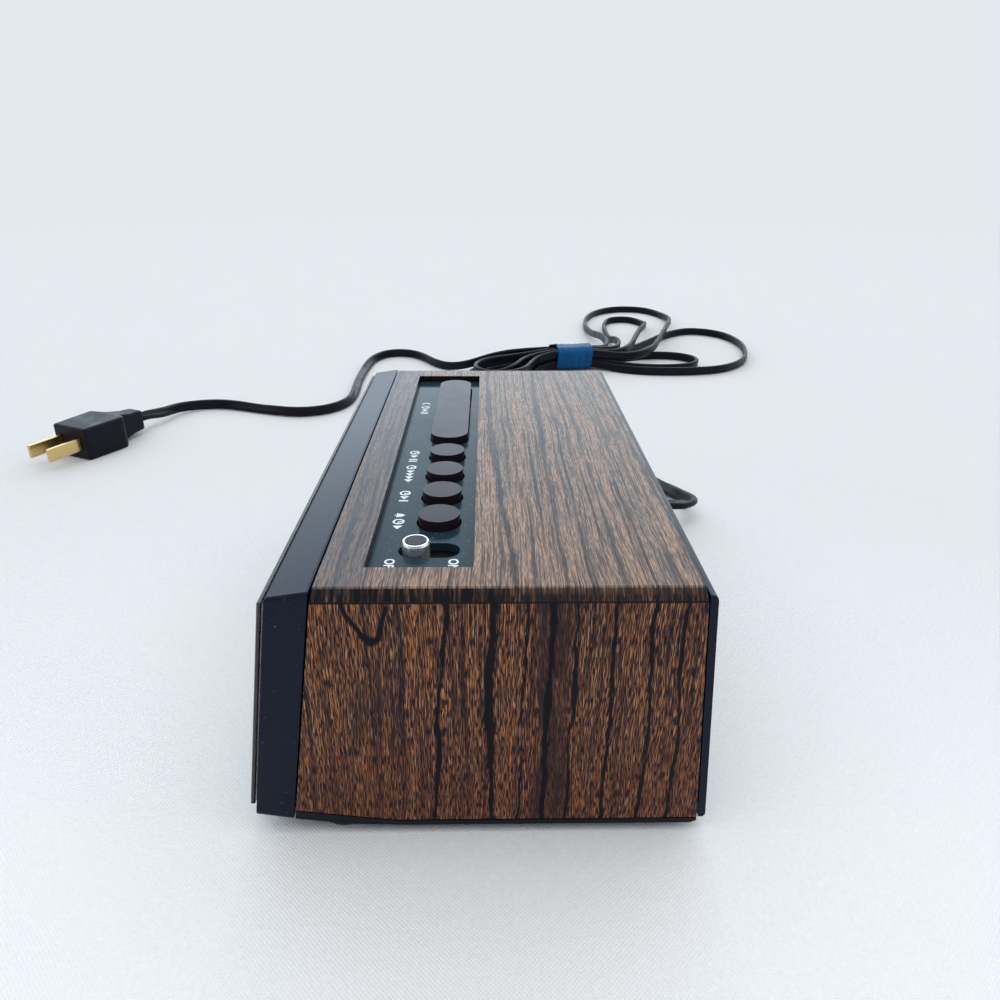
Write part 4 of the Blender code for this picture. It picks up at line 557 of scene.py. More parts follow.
# Streaks of the printed wood, in millimetres. Near end: place under the fold and at the foot, and
# width. Top: place at the near end, the middle and the far end, width, and how dark.
STREAKS = (
    (-6.3, -9.4, 0.60), (2.6, 2.2, 0.85), (9.6, 8.2, 0.30), (14.2, 13.6, 0.80), (19.0, 19.0, 0.46),
    (26.6, 26.8, 0.54), (34.4, 34.9, 0.50), (40.4, 41.3, 0.58),
)
TOP_STREAKS = (
    (-27.0, -29.4, -30.2, 0.80, 0.62), (-24.6, -24.8, -24.2, 0.30, 0.40), (7.0, 2.9, 2.3, 1.05, 0.80),
    (11.2, 8.4, 8.8, 0.34, 0.50), (16.8, 17.0, 19.2, 0.85, 0.72), (22.4, 21.8, 22.8, 0.40, 0.55),
    (28.2, 28.0, 27.2, 0.62, 0.62), (33.0, 33.8, 33.0, 0.40, 0.50), (38.4, 38.2, 37.2, 0.50, 0.55),
    (43.8, 42.6, 42.0, 0.60, 0.70),
)


def wood_foil():
    """Rosewood print: fine dashes along the grain, dark hairlines, and near-black wavy streaks."""
    wood = Finish("wood_grain_foil", 0.38, Specular_IOR_Level=0.05, Coat_Weight=0.60, Coat_IOR=1.19,
                  Coat_Roughness=0.16)
    x, y, z = wood.axes()
    fall = wood.minus(CASE_TOP, z)
    beside = wood.step(wood.calc("ABSOLUTE", x), HALF_LENGTH - 0.0018, HALF_LENGTH - 0.0006)
    above = wood.minus(1.0, beside)
    sheet_run = wood.plus(x, wood.times(wood.calc("SIGN", x), fall))
    top_grain = wood.joined(sheet_run, y, 0.0)
    near = wood.times(beside, wood.calc("GREATER_THAN", x, 0.0))

    # The grain bends a little along its way
    drift = wood.noise(wood.scaled(top_grain, (9.0, 16.0, 1.0)), 1.0, 2.0, 0.5)
    ripple = wood.noise(wood.scaled(top_grain, (70.0, 120.0, 1.0), (3.1, 0.7, 0)), 1.0, 3.0, 0.6)
    sway = wood.times(wood.minus(drift, 0.5), 0.0060)
    shiver = wood.times(wood.minus(ripple, 0.5), 0.0010)
    bent = wood.plus(wood.plus(y, sway), shiver)
    flow = wood.joined(sheet_run, bent, 0.0)

    fine = wood.noise(wood.scaled(flow, (400.0, 4900.0, 1.0)), 1.0, 0.6, 0.5)
    fibre = wood.noise(wood.scaled(flow, (250.0, 4100.0, 1.0), (5.0, 3.0, 0)), 1.0, 0.6, 0.5)
    hairs = wood.noise(wood.scaled(flow, (80.0, 2700.0, 1.0), (9.0, 1.0, 0)), 1.0, 1.0, 0.5)
    lines = wood.noise(wood.scaled(flow, (9.0, 900.0, 1.0), (0.4, 2.0, 0)), 1.0, 2.0, 0.6)
    pale = wood.noise(wood.scaled(flow, (7.0, 640.0, 1.0), (8.4, 6.0, 0)), 1.0, 2.0, 0.6)
    broad = wood.noise(wood.scaled(flow, (8.0, 230.0, 1.0), (7.0, 1.3, 0)), 1.0, 3.0, 0.6)
    mottle = wood.noise(wood.scaled(flow, (60.0, 380.0, 1.0), (2.0, 8.0, 0)), 1.0, 3.0, 0.6)

    tone = wood.mix(wood.step(mottle, 0.34, 0.66), (0.350, 0.132, 0.048), (0.180, 0.066, 0.030))
    tone = wood.mix(wood.times(wood.step(broad, 0.46, 0.64), 0.76), tone, (0.048, 0.024, 0.027))
    tone = wood.mix(wood.times(wood.step(fibre, 0.50, 0.36), 0.66), tone, (0.560, 0.270, 0.120))
    tone = wood.mix(wood.times(wood.step(pale, 0.54, 0.68), 0.34), tone, (0.430, 0.225, 0.120))
    # Painted reflection: the top is veiled paler and greyer, standing in for the sky's reflection on it
    tone = wood.mix(wood.times(above, 0.38), tone, (0.385, 0.352, 0.275))
    tone = wood.mix(wood.times(beside, wood.step(fibre, 0.48, 0.34, 0.0, 0.24)), tone, (0.60, 0.31, 0.15))
    tone = wood.mix(wood.times(wood.step(hairs, 0.49, 0.60), 0.68), tone, (0.016, 0.010, 0.016))
    # On the top the dashes are weaker and a paler blue-grey, which is also painted reflection; on the ends
    # they are near-black
    dash_depth = wood.calc("MULTIPLY_ADD", beside, 0.42, 0.52)
    dash = wood.mix(above, (0.008, 0.007, 0.015), (0.030, 0.032, 0.048))
    tone = wood.mix(wood.times(wood.step(fine, 0.46, 0.55), dash_depth), tone, dash)
    tone = wood.mix(wood.times(wood.step(lines, 0.52, 0.64), 0.76), tone, (0.006, 0.007, 0.015))
    rag = wood.noise(wood.scaled(flow, (210.0, 1500.0, 1.0), (6.0, 6.0, 0)), 1.0, 1.0, 0.6)

    # Soft dark streaks of the top, broken up along their way
    run_start, run_length = 0.078, 0.156
    run = wood.times(wood.minus(run_start, x), 1.0 / run_length)
    soft_streaks = None
    for index, (first, middle, last, width, depth) in enumerate(TOP_STREAKS):
        curl = 2 * (first + last - 2 * middle) * MM
        lean = (last - first) * MM - curl
        centre = wood.times(run, wood.plus(wood.times(run, curl), lean))
        apart = wood.calc("ABSOLUTE", wood.minus(bent, wood.plus(centre, first * MM)))
        swell = wood.noise(wood.joined(wood.times(x, 32.0), 5.3 * index, 0.0), 1.0, 2.0, 0.6)
        half = wood.step(swell, 0.28, 0.66, width * 0.25 * MM, width * 1.15 * MM)
        half = wood.times(half, wood.step(rag, 0.30, 0.60, 1.35, 0.70))
        line = wood.times(wood.step(wood.minus(half, apart), -0.00035, 0.00030), depth)
        soft_streaks = line if soft_streaks is None else wood.most(soft_streaks, line)
    tone = wood.mix(wood.times(soft_streaks, above), tone, (0.013, 0.013, 0.019))
    strip_edge, strip_full = -0.0205, -0.0235
    strip = wood.times(wood.step(y, strip_edge, strip_full, 0.0, 0.50), above)
    tone = wood.mix(strip, tone, (0.050, 0.065, 0.090))

    # Near-black streaks of the near end
    end_height = 0.0584
    end_share = wood.times(fall, 1.0 / end_height)
    wander = wood.noise(wood.joined(wood.times(z, 42.0), wood.times(y, 40.0), 0.0), 1.0, 2.0, 0.5)
    across = wood.plus(y, wood.times(wood.minus(wander, 0.5), 0.0034))
    fray = wood.times(wood.minus(fibre, 0.5), 0.0009)
    streaks = None
    for index, (under_fold, foot, width) in enumerate(STREAKS):
        centre = wood.plus(wood.times(end_share, (foot - under_fold) * MM), under_fold * MM)
        apart = wood.from_line(across, centre)
        apart = wood.plus(apart, fray)
        swell = wood.noise(wood.joined(wood.times(z, 60.0), 3.7 * index, 0.0), 1.0, 2.0, 0.6)
        half = wood.step(swell, 0.30, 0.70, width * 0.50 * MM, width * 1.05 * MM)
        if index == 1:
            belly_height = 0.040
            belly = wood.step(wood.from_line(z, belly_height), 0.014, 0.004, 0.0, 0.00045)
            half = wood.plus(half, belly)
        half = wood.times(half, wood.step(rag, 0.30, 0.60, 1.30, 0.75))
        line = wood.step(wood.minus(half, apart), -0.00011, 0.00010)
        streaks = line if streaks is None else wood.most(streaks, line)
    knot = knot_lines(wood, across, z)
    streaks = wood.times(wood.most(streaks, knot), near)
    umber_y = 0.0150
    umber = wood.times(wood.step(wood.from_line(y, umber_y), 0.0044, 0.0026),
                       wood.step(mottle, 0.30, 0.60, 0.48, 0.82))
    shade = wood.most(knot_shade(wood, y, z, mottle), umber)
    # The ends turn darker and redder towards the bottom, with a dashed pattern
    low_down = wood.step(wood.minus(z, wood.times(drift, 0.030)), 0.022, -0.004, 0.0, 0.42)
    low_tint = wood.times(beside, low_down)
    low_colour = wood.mix(wood.step(fine, 0.42, 0.56), (0.200, 0.062, 0.030), (0.022, 0.009, 0.010))
    tone = wood.mix(low_tint, tone, low_colour)
    tone = wood.mix(wood.times(shade, near), tone, (0.024, 0.013, 0.016))
    tone = wood.mix(wood.times(streaks, 0.98), tone, (0.0016, 0.0026, 0.0070))

    # The narrow facet of the fold is painted darker as shade, with bands of the grain, paler towards +Y as a
    # painted highlight, and a painted shade line along each edge
    upper_crease, lower_crease = 0.0001, 0.00235
    facet = wood.times(wood.step(fall, 0.0002, 0.0004), wood.step(fall, 0.0026, 0.0022))
    bands = wood.noise(wood.scaled(flow, (9.0, 760.0, 1.0), (3.0, 9.0, 0)), 1.0, 3.0, 0.7)
    highlight_side = wood.step(y, 0.003, 0.010)
    facet_painted_shade = wood.times(facet, wood.step(bands, 0.43, 0.55, 0.70, 1.0))
    facet_painted_shade = wood.times(facet_painted_shade, wood.calc("MULTIPLY_ADD", highlight_side, -0.20, 1.0))
    tone = wood.mix(facet_painted_shade, tone, wood.mix(highlight_side, (0.0015, 0.0010, 0.0040), (0.008, 0.006, 0.009)))
    crease_shade_lines = wood.most(wood.step(wood.from_line(fall, upper_crease), 0.0004, 0.0002),
                        wood.step(wood.from_line(fall, lower_crease), 0.0003, 0.0001))
    tone = wood.mix(wood.times(wood.times(crease_shade_lines, beside), 0.9), tone, (0.004, 0.003, 0.006))

    # The sheet's cut edge round the keys and its inner side are painted near-black: the board's dark edge,
    # darkened further as painted shade inside the cut-out
    sheet, inner_half = 0.00022, 0.0715
    inner = wood.times(wood.calc("LESS_THAN", z, CASE_TOP - sheet),
                       wood.calc("LESS_THAN", wood.calc("ABSOLUTE", x), inner_half))
    tone = wood.mix(wood.times(inner, 0.93), tone, (0.018, 0.012, 0.012))
    wood.set("Base Color", tone)
    wood.set("Roughness", wood.step(fine, 0.3, 0.7, 0.30, 0.44))
    wood.set("Normal", wood.bump(fine, 0.00010, 0.22))
    return wood.material


def knot_lines(wood, across, z):
    """A small V-shaped figure near the front edge of the near end."""
    def segment(y0, z0, y1, z1, width):
        dy, dz = y1 - y0, z1 - z0
        span = dy * dy + dz * dz
        py = wood.minus(across, y0)
        pz = wood.minus(z, z0)
        dot = wood.plus(wood.times(py, dy / span), wood.times(pz, dz / span))
        share = wood.calc("MINIMUM", wood.most(dot, 0.0), 1.0)
        ey = wood.minus(py, wood.times(share, dy))
        ez = wood.minus(pz, wood.times(share, dz))
        apart = wood.far(ey, ez)
        return wood.step(apart, width, width * 0.35)

    strokes = (
        (-0.0262, 0.0622, -0.0252, 0.0575, 0.00075), (-0.0252, 0.0575, -0.0226, 0.0528, 0.00080),
        (-0.0226, 0.0528, -0.0210, 0.0510, 0.00125), (-0.0210, 0.0510, -0.0196, 0.0520, 0.00115),
        (-0.0196, 0.0520, -0.0186, 0.0556, 0.00085), (-0.0186, 0.0556, -0.0172, 0.0590, 0.00075),
    )
    total = None
    for stroke in strokes:
        line = segment(*stroke)
        total = line if total is None else wood.most(total, line)
    return total


def knot_shade(wood, y, z, mottle):
    """Mottled dark patch under the V."""
    centre_y, centre_z = -0.0215, 0.0330
    half_width, half_height = 0.0062, 0.0200
    dy = wood.times(wood.minus(y, centre_y), 1.0 / half_width)
    dz = wood.times(wood.minus(z, centre_z), 1.0 / half_height)
    reach = wood.plus(wood.times(dy, dy), wood.times(dz, dz))
    patch = wood.step(reach, 1.0, 0.2)
    return wood.times(patch, wood.step(mottle, 0.44, 0.62, 0.10, 0.62))


def moulded_black(name, colour, roughness=0.34, dust=0.5):
    """Black moulding with a fine mould texture, dust specks and a few hairline scratches."""
    shell = Finish(name, roughness, Specular_IOR_Level=0.0, Coat_Weight=0.82, Coat_IOR=1.29,
                   Coat_Roughness=0.10)
    fine = shell.noise(shell.place, 2600.0, 2.0, 0.6)
    cloud = shell.noise(shell.place, 45.0, 3.0, 0.6)
    specks = shell.step(shell.noise(shell.place, 1500.0, 1.0, 0.4), 0.735, 0.775)
    elsewhere = shell.scaled(shell.place, (1, 1, 1), (4, 2, 9))
    patches = shell.step(shell.noise(elsewhere, 70.0, 2.0, 0.5), 0.48, 0.66)
    specks = shell.times(specks, shell.times(patches, dust))
    hair = shell.noise(shell.scaled(shell.place, (1300.0, 1300.0, 60.0)), 1.0, 1.0, 0.4, 0.8)
    hairs = shell.times(shell.step(hair, 0.730, 0.750), dust * 0.16)
    tone = shell.mix(cloud, tuple(level * 0.85 for level in colour), tuple(level * 1.20 for level in colour))
    tone = shell.mix(specks, tone, (0.30, 0.34, 0.40))
    tone = shell.mix(hairs, tone, (0.16, 0.19, 0.24))
    shell.set("Base Color", tone)
    shell.set("Roughness", shell.step(cloud, 0.3, 0.7, roughness * 0.85, roughness * 1.2))
    shell.set("Normal", shell.bump(fine, 0.00004, 0.25))
    return shell.material


def plain(name, colour, roughness, metallic=0.0, grain=900.0, depth=0.00003, spread=0.12, **levels):
    """A finish with a little tone change and a fine surface grain."""
    item = Finish(name, roughness, metallic, **levels)
    cloud = item.noise(item.place, 130.0, 3.0, 0.6)
    fine = item.noise(item.place, grain, 2.0, 0.6)
    dark = tuple(level * (1 - spread) for level in colour)
    light = tuple(level * (1 + spread) for level in colour)
    item.set("Base Color", item.mix(cloud, dark, light))
    item.set("Roughness", item.step(cloud, 0.3, 0.7, roughness * 0.85, min(1.0, roughness * 1.15)))
    item.set("Normal", item.bump(fine, depth, 0.3))
    return item.material


def smoked_window():
    lens = Finish("smoked_lens", 0.06, Transmission_Weight=0.97, IOR=1.49)
    smear = lens.noise(lens.scaled(lens.place, (60.0, 60.0, 25.0)), 1.0, 3.0, 0.6)
    lens.set("Base Color", lens.mix(smear, (0.300, 0.270, 0.275), (0.350, 0.315, 0.320)))
    lens.set("Roughness", lens.step(smear, 0.35, 0.75, 0.045, 0.11))
    return lens.material


def glossy_plate():
    """Dark blue-green gloss with dust and duller patches, as the panel round the keys has."""
    plate = Finish("glossy_plate", 0.14, Specular_IOR_Level=0.08)
    cloud = plate.noise(plate.place, 60.0, 3.0, 0.6)
    dust = plate.step(plate.noise(plate.place, 1900.0, 1.0, 0.4), 0.71, 0.76)
    plate.set("Base Color", plate.mix(
        plate.times(dust, 0.45), plate.mix(cloud, (0.012, 0.030, 0.043), (0.018, 0.040, 0.056)),
        (0.25, 0.30, 0.34)))
    plate.set("Roughness", plate.step(cloud, 0.3, 0.7, 0.11, 0.22))
    return plate.material


def key_plastic():
    key = Finish("key_plastic", 0.30, Specular_IOR_Level=0.05, Coat_Weight=0.48, Coat_IOR=1.27,
                 Coat_Roughness=0.16)
    cloud = key.noise(key.place, 200.0, 3.0, 0.6)
    fine = key.noise(key.place, 5200.0, 2.0, 0.6)
    key.set("Base Color", key.mix(cloud, (0.014, 0.009, 0.015), (0.022, 0.014, 0.022)))
    key.set("Roughness", key.step(cloud, 0.3, 0.7, 0.27, 0.36))
    key.set("Normal", key.bump(fine, 0.00002, 0.3))
    return key.material


def lead_plastic():
    """Black vinyl with a fine grain and duller patches."""
    vinyl = Finish("cord_vinyl", 0.36, Specular_IOR_Level=0.14)
    cloud = vinyl.noise(vinyl.place, 160.0, 3.0, 0.6)
    fine = vinyl.noise(vinyl.place, 2400.0, 2.0, 0.6)
    vinyl.set("Base Color", vinyl.mix(cloud, (0.0022, 0.0036, 0.0080), (0.0050, 0.0072, 0.0130)))
    vinyl.set("Roughness", vinyl.step(cloud, 0.3, 0.7, 0.30, 0.46))
    vinyl.set("Normal", vinyl.bump(fine, 0.00003, 0.3))
    return vinyl.material


def tie_material():
    band = Finish("tie_band", 0.42, Specular_IOR_Level=0.12)
    ribs = band.noise(band.scaled(band.place, (500.0, 2600.0, 500.0)), 1.0, 2.0, 0.6)
    cloud = band.noise(band.place, 210.0, 2.0, 0.6)
    band.set("Base Color", band.mix(cloud, (0.001, 0.050, 0.150), (0.003, 0.098, 0.265)))
    band.set("Normal", band.bump(ribs, 0.00008, 0.5))
    return band.material


WOOD = wood_foil()
BLACK = moulded_black("black_moulding", (0.0010, 0.0040, 0.0170), 0.26)
BASE_BLACK = moulded_black("base_moulding", (0.0035, 0.0050, 0.0090), 0.42, 0.25)
LENS = smoked_window()
PLATE = glossy_plate()
KEY = key_plastic()
CHROME = plain("bright_metal", (0.90, 0.90, 0.90), 0.22, 0.84, 1400.0, 0.00002, 0.03)
RUBBER = plain("rubber", (0.018, 0.018, 0.019), 0.82, 0.0, 2200.0, 0.00008)
STEEL = plain("steel", (0.42, 0.42, 0.43), 0.38, 1.0, 1500.0, 0.00004, 0.18)
BOARD = plain("circuit_board", (0.150, 0.100, 0.040), 0.50, 0.0, 1800.0, 0.00004, 0.25)
PACKAGE = plain("component_black", (0.008, 0.008, 0.009), 0.48, 0.0, 2400.0, 0.00004, Specular_IOR_Level=0.2)
SLEEVE = plain("capacitor_sleeve", (0.030, 0.060, 0.180), 0.34)
COPPER = plain("copper_winding", (0.450, 0.160, 0.060), 0.36, 0.8, 3000.0, 0.00020, 0.25)
VINYL = lead_plastic()
TIE = tie_material()
BRASS = plain("plug_brass", (0.70, 0.50, 0.22), 0.26, 1.0, 1300.0, 0.00003, 0.14)
PRINT = plain("white_print", (0.74, 0.80, 0.82), 0.45, 0.0, 4000.0, 0.00001, 0.06)
SEGMENT = plain("unlit_segment", (0.56, 0.47, 0.44), 0.40, 0.0, 3000.0, 0.00002, 0.10)

NODE_FINISHES = {
    "cabinet_shell": WOOD,
    "front_bezel": BLACK,
    "rear_cover": BLACK,
    "base_tray": BASE_BLACK,
    "display_lens": LENS,
    "control_plate": PLATE,
    "alarm_set_button": KEY,
    "time_set_button": KEY,
    "fast_set_button": KEY,
    "slow_set_button": KEY,
    "snooze_bar": KEY,
    "alarm_switch_knob": CHROME,
    "alarm_switch_insert": KEY,
    "alarm_switch_slider": PACKAGE,
    "key_board": BOARD,
    "main_board": BOARD,
    "slide_switch_body": STEEL,
    "clock_chip": PACKAGE,
    "filter_capacitor": SLEEVE,
    "display_module": PACKAGE,
    "transformer_core": STEEL,
    "transformer_coil": COPPER,
    "alarm_speaker": STEEL,
    "cord_strain_relief": VINYL,
    "plug_body": VINYL,
    "plug_blade_1": BRASS,
    "plug_blade_2": BRASS,
}
for number in range(1, 5):
    NODE_FINISHES[f"rubber_foot_{number}"] = RUBBER
    NODE_FINISHES[f"case_screw_{number}"] = STEEL
for number in range(1, 7):
    NODE_FINISHES[f"key_switch_{number}"] = PACKAGE
for node_name, finish in NODE_FINISHES.items():
    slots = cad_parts[node_name].material_slots
    for slot in slots:
        slot.material = finish


def soften(node_name, width, segments=2, angle=35):
    """Break the sharp edges of a CAD node so that they catch the light."""
    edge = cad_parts[node_name].modifiers.new("soft_edges", "BEVEL")
    edge.width = width
    edge.segments = segments
    edge.limit_method = "ANGLE"
    edge.angle_limit = math.radians(angle)
    edge.harden_normals = True


soften("cabinet_shell", 0.00022)
soften("rear_cover", 0.00018)
soften("control_plate", 0.00012)
soften("display_lens", 0.00012)
for key_name in ("alarm_set_button", "time_set_button", "fast_set_button", "slow_set_button", "snooze_bar"):
    soften(key_name, 0.00030, 3)

lead.data.materials.append(VINYL)
tie_band.data.materials.append(TIE)
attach(lead, "case")
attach(tie_band, "case")
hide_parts("power_cord", "cord_hank", "plug_cord")
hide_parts("cord_tie")
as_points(LEAD_POINTS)


# Printed marks on the control plate: drawn flat, in millimetres, tops towards +Y
def arc_points(x, y, radius, start, end, count):
    return [(x + radius * math.cos(math.radians(start + (end - start) * index / (count - 1))),
             y + radius * math.sin(math.radians(start + (end - start) * index / (count - 1))))
            for index in range(count)]


def ring_shape(x, y, outer, inner, count=24):
    first = arc_points(x, y, outer, 0, 360, count + 1)[:-1]
    second = arc_points(x, y, inner, 0, 360, count + 1)[:-1]
    return [[first[i], first[(i + 1) % count], second[(i + 1) % count], second[i]] for i in range(count)]


def bar(x0, y0, x1, y1, width):
    dx, dy = x1 - x0, y1 - y0
    size = math.hypot(dx, dy)
    nx, ny = -dy / size * width / 2, dx / size * width / 2
    return [(x0 + nx, y0 + ny), (x0 - nx, y0 - ny), (x1 - nx, y1 - ny), (x1 + nx, y1 + ny)]


MARK_MIDDLE = 1.35
THIN_BAR = 0.44


def post(x):
    return bar(x, 0.2, x, 2.5, 0.7)


def bell_mark(x):
    dome = arc_points(x, 1.55, 0.78, 180, 0, 13)[::-1]
    cup = [(x - 0.82, 0.95), (x - 1.20, 0.55), (x + 1.20, 0.55), (x + 0.82, 0.95)] + dome
    clapper = arc_points(x, 0.42, 0.34, 180, 360, 7)
    knob = arc_points(x, 2.42, 0.20, 0, 360, 9)[:-1]
    return [cup, clapper, knob]


def clock_mark(x):
    long_hand = bar(x, 1.25, x, 2.15, THIN_BAR)
    short_hand = bar(x - 0.1, MARK_MIDDLE, x + 0.80, MARK_MIDDLE, THIN_BAR)
    return ring_shape(x, MARK_MIDDLE, 1.38, 0.92) + [long_hand, short_hand]


def arrow_mark(x):
    half_height = 1.15
    return [[(x, MARK_MIDDLE - half_height), (x + 1.75, MARK_MIDDLE), (x, MARK_MIDDLE + half_height)]]


def moon_mark(x):
    slices = 16
    outer = arc_points(x, MARK_MIDDLE, 1.32, 60, 300, slices + 3)
    inner = arc_points(x + 0.66, MARK_MIDDLE, 1.14, 272, 88, slices + 1)[::-1]
    places = [int(index * (slices + 2) / slices) for index in range(slices + 1)]
    return [[outer[places[index]], outer[places[index + 1]], inner[index + 1], inner[index]]
            for index in range(slices)]


def marks(name, shapes, x, y):
    """Thin raised print: each flat shape becomes a slab on the plate."""
    low = PLATE_TOP + PRINT_GAP
    high = low + PRINT_THICKNESS
    mesh = bmesh.new()
    for shape in shapes:
        area = sum(a[0] * b[1] - b[0] * a[1] for a, b in zip(shape, shape[1:] + shape[:1]))
        shape = shape if area > 0 else shape[::-1]
        top = [mesh.verts.new((x + px * MM, y + py * MM, high)) for px, py in shape]
        bottom = [mesh.verts.new((x + px * MM, y + py * MM, low)) for px, py in shape]
        mesh.faces.new(top)
        for index in range(len(shape)):
            turn = (index + 1) % len(shape)
            mesh.faces.new((top[index], bottom[index], bottom[turn], top[turn]))
    data = bpy.data.meshes.new(name)
    mesh.to_mesh(data)
    mesh.free()
    item = bpy.data.objects.new(name, data)
    bpy.context.collection.objects.link(item)
    data.materials.append(PRINT)
    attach(item, "case")
    return item


def word(name, text, x, y, height):
    """ON or OFF beside the switch, as flat print."""
    curve = bpy.data.curves.new(name + "_text", "FONT")
    curve.body = text
    capital_share = 0.72
    curve.size = height / capital_share
    half_thickness, middle, boldness = 0.000012, 0.000024, 0.00008
    curve.extrude = half_thickness
    curve.offset = boldness
    letters = bpy.data.objects.new(name + "_text", curve)
    bpy.context.collection.objects.link(letters)
    bpy.context.view_layer.update()
    data = bpy.data.meshes.new_from_object(letters.evaluated_get(bpy.context.evaluated_depsgraph_get()))
    data.name = name
    bpy.data.objects.remove(letters)
    data.transform(Matrix.Translation((x, y, PLATE_TOP + middle)))
    item = bpy.data.objects.new(name, data)
    bpy.context.collection.objects.link(item)
    data.materials.clear()
    data.materials.append(PRINT)
    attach(item, "case")
    return item


MARK_Y = -0.0200
marks("alarm_mark", bell_mark(1.3) + clock_mark(4.6) + arrow_mark(6.7), 0.0411, MARK_Y)
marks("time_mark", clock_mark(1.4) + arrow_mark(3.3) + [post(5.9)], 0.0284, MARK_Y)
arrows = [shape for start in (3.6, 5.6, 7.6, 9.6) for shape in arrow_mark(start)]
marks("fast_mark", clock_mark(1.4) + arrows, 0.0115, MARK_Y)
marks("slow_mark", clock_mark(1.4) + arrow_mark(3.6) + [post(6.6), post(7.9)], 0.0006, MARK_Y)
marks("snooze_mark", moon_mark(1.4) + clock_mark(4.9) + arrow_mark(7.2) + [post(9.9), post(11.3)],
      -0.0444, MARK_Y)
word("off_mark", "OFF", 0.0632, -0.01955, 0.0021)
word("on_mark", "ON", 0.0633, -0.00625, 0.0021)


# Unlit digits behind the window
def front_place(x, behind, up):
    return (x, -HALF_DEPTH + behind * math.cos(FRONT_LEAN) + up * math.sin(FRONT_LEAN),
            LENS_BOTTOM + up * math.cos(FRONT_LEAN) - behind * math.sin(FRONT_LEAN))


def make_digits():
    """Four seven-bar figures and a colon, each bar a bevelled slab proud of the module."""
    high, wide, bar_width, slant, gap = 18.5, 10.5, 2.1, 0.10, 0.45
    proud, seated = 0.00016, 0.00002
    bars = []
    half = high / 2
    for start in (-44.0, -24.5, 9.5, 29.0):
        for x0, y0, x1, y1 in ((0, half, 1, half), (0, 0, 1, 0), (0, -half, 1, -half),
                               (0, 0, 0, half), (1, 0, 1, half), (0, -half, 0, 0), (1, -half, 1, 0)):
            ax, bx = start + x0 * wide, start + x1 * wide
            size = math.hypot(bx - ax, y1 - y0)
            ux, uy = (bx - ax) / size, (y1 - y0) / size
            first, last = gap + bar_width / 2, size - gap - bar_width / 2
            points = []
            for along, off in ((gap, 0), (first, -0.5), (last, -0.5),
                               (size - gap, 0), (last, 0.5), (first, 0.5)):
                px = ax + ux * along - uy * off * bar_width
                py = y0 + uy * along + ux * off * bar_width
                points.append((px + py * slant, py))
            bars.append(points)
    for y in (-4.0, 4.0):
        bars.append([(px + y * slant, py) for px, py in arc_points(-2.2, y, 1.25, 0, 360, 17)[:-1]])
    mesh = bmesh.new()
    for points in bars:
        front = [mesh.verts.new(front_place(px * MM, DIGIT_FACE - proud, WINDOW_CENTRE + py * MM))
                 for px, py in points]
        back = [mesh.verts.new(front_place(px * MM, DIGIT_FACE - seated, WINDOW_CENTRE + py * MM))
                for px, py in points]
        mesh.faces.new(front)
        for index in range(len(points)):
            turn = (index + 1) % len(points)
            mesh.faces.new((front[turn], front[index], back[index], back[turn]))
    bmesh.ops.recalc_face_normals(mesh, faces=mesh.faces)
    data = bpy.data.meshes.new("display_segments")
    mesh.to_mesh(data)
    mesh.free()
    item = bpy.data.objects.new("display_segments", data)
    bpy.context.collection.objects.link(item)
    data.materials.append(SEGMENT)
    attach(item, "case")


make_digits()


# Floor, sky and light
HORIZON = (0.770, 0.808, 0.856)


def floor_cloth():
    """White cloth: a fine diagonal weave that shows close to the lens, and fades into the distance. A
    painted pool of light brightens it in front of the near end, where the case's shadow falls.
    """
    cloth = Finish("pale_cloth", 0.9, Specular_IOR_Level=0.0)
    threads, light_pool_centre = 6800.0, 0.125
    x, y, _ = cloth.axes()
    first = cloth.calc("SINE", cloth.times(cloth.plus(x, y), threads))
    second = cloth.calc("SINE", cloth.times(cloth.minus(x, y), threads))
    weave = cloth.times(cloth.plus(first, second), 0.25)
    cloud = cloth.noise(cloth.place, 6.0, 2.0, 0.5)
    slub = cloth.noise(cloth.scaled(cloth.place, (900.0, 900.0, 1.0)), 1.0, 2.0, 0.6)
    reach = cloth.far(x, y)
    apart = cloth.far(cloth.minus(x, light_pool_centre), y)
    # Painted light: the cloth is paler within 0.3 m of a point in front of the near end, a painted pool of
    # light that lifts the case's shadow
    tone = cloth.mix(cloth.step(apart, 0.30, 0.0), (0.735, 0.746, 0.758), (0.930, 0.948, 0.964))
    tone = cloth.mix(cloth.times(cloud, 0.10), tone, (0.66, 0.69, 0.72))
    tone = cloth.mix(cloth.step(slub, 0.3, 0.7, 0.0, 0.10), tone, (0.60, 0.64, 0.68))
    distant = cloth.step(reach, 0.35, 2.4)
    cloth.set("Base Color", cloth.mix(distant, tone, (0.0, 0.0, 0.0)))
    cloth.set("Emission Color", HORIZON)
    cloth.set("Emission Strength", distant)
    cloth.set("Normal", cloth.bump(weave, 0.00020, 0.72))
    return cloth.material


def make_stage():
    reach = 40.0
    corners = [(x, y, 0.0) for x in (-reach, reach) for y in (-reach, reach)]
    floor = new_object("studio_floor", corners, [(0, 2, 3, 1)], floor_cloth())


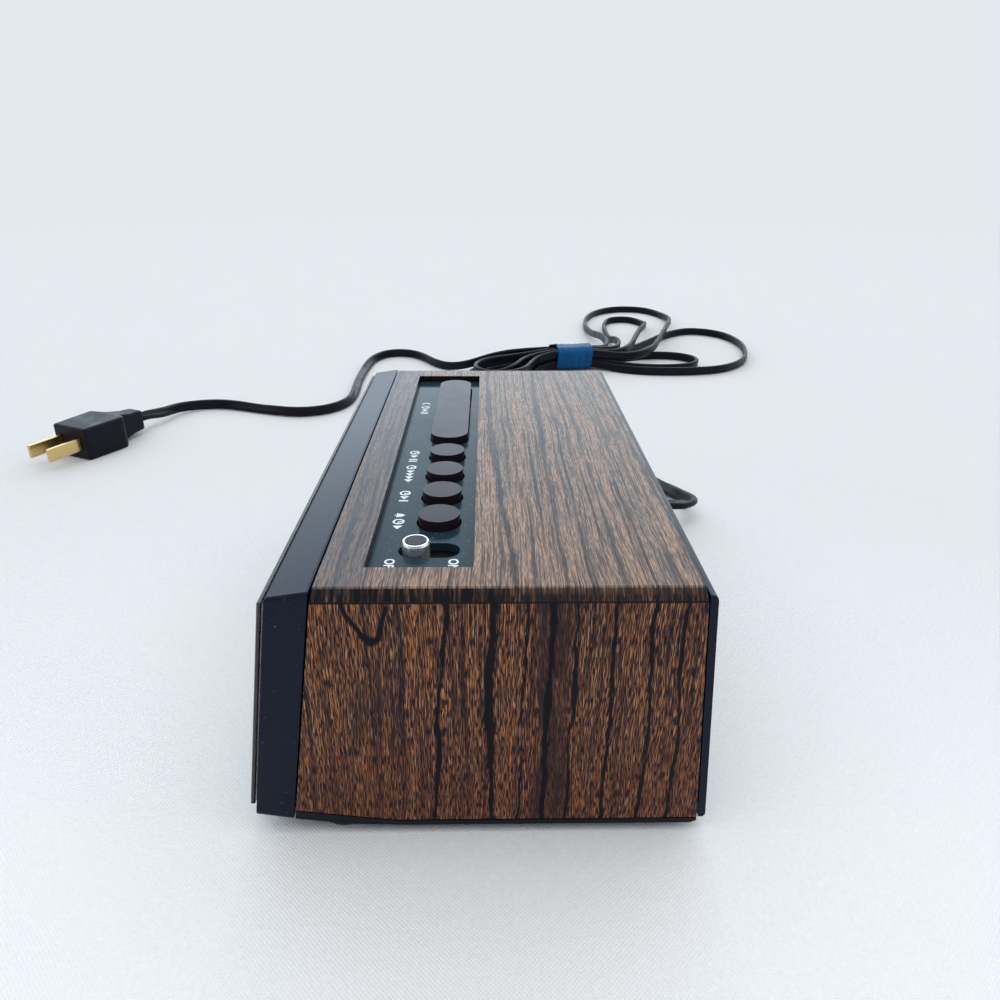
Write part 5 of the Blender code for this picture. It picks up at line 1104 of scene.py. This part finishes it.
def soft_sun(name, way, spread, strength, colour):
    """A broad even light that comes from one side of the sky."""
    data = bpy.data.lights.new(name, "SUN")
    data.angle = math.radians(spread)
    data.energy = strength
    data.color = colour
    lamp = bpy.data.objects.new(name, data)
    lamp.rotation_euler = (-Vector(way)).to_track_quat("-Z", "Y").to_euler()
    bpy.context.collection.objects.link(lamp)


def make_world():
    """Pale horizon all round, a bright window behind the clock and a dim side over the near end."""
    world = bpy.data.worlds.new("studio_world")
    bpy.context.scene.world = world
    world.use_nodes = True
    tree = world.node_tree
    sky = tree.nodes["Background"]

    def new(kind, **settings):
        node = tree.nodes.new(kind)
        for label, value in settings.items():
            setattr(node, label, value)
        return node

    def spread(value, low, high):
        node = new("ShaderNodeMapRange", interpolation_type="SMOOTHSTEP")
        node.inputs["From Min"].default_value = low
        node.inputs["From Max"].default_value = high
        tree.links.new(value, node.inputs["Value"])
        return node.outputs["Result"]

    def blend(share, first, second):
        node = new("ShaderNodeMix", data_type="RGBA")
        tree.links.new(share, node.inputs["Factor"])
        for socket, value in ((node.inputs[6], first), (node.inputs[7], second)):
            if isinstance(value, tuple):
                socket.default_value = (*value, 1.0)
            else:
                tree.links.new(value, socket)
        return node.outputs[2]

    def both(first, second):
        node = new("ShaderNodeMath", operation="MULTIPLY")
        tree.links.new(first, node.inputs[0])
        tree.links.new(second, node.inputs[1])
        return node.outputs[0]

    way = new("ShaderNodeSeparateXYZ")
    tree.links.new(new("ShaderNodeTexCoord").outputs["Generated"], way.inputs[0])
    upper = blend(spread(way.outputs[0], 0.30, 0.85), (0.90, 0.91, 0.92), (0.26, 0.28, 0.32))
    window = both(spread(way.outputs[0], -0.35, -0.80), spread(way.outputs[2], 0.78, 0.55))
    upper = blend(window, upper, (1.88, 2.24, 2.56))
    lit = blend(spread(way.outputs[2], 0.13, 0.25), HORIZON, upper)
    seen = new("ShaderNodeLightPath").outputs["Is Camera Ray"]
    tree.links.new(blend(seen, lit, HORIZON), sky.inputs["Color"])
    sky.inputs["Strength"].default_value = 1.0


make_stage()
make_world()
soft_sun("key_light", (-0.45, 0.55, 1.60), 50.0, 0.24, (1.0, 0.98, 0.95))
soft_sun("over_light", (0.42, -0.10, 1.50), 55.0, 0.52, (0.98, 0.99, 1.0))
bpy.context.scene.view_settings.view_transform = "Standard"
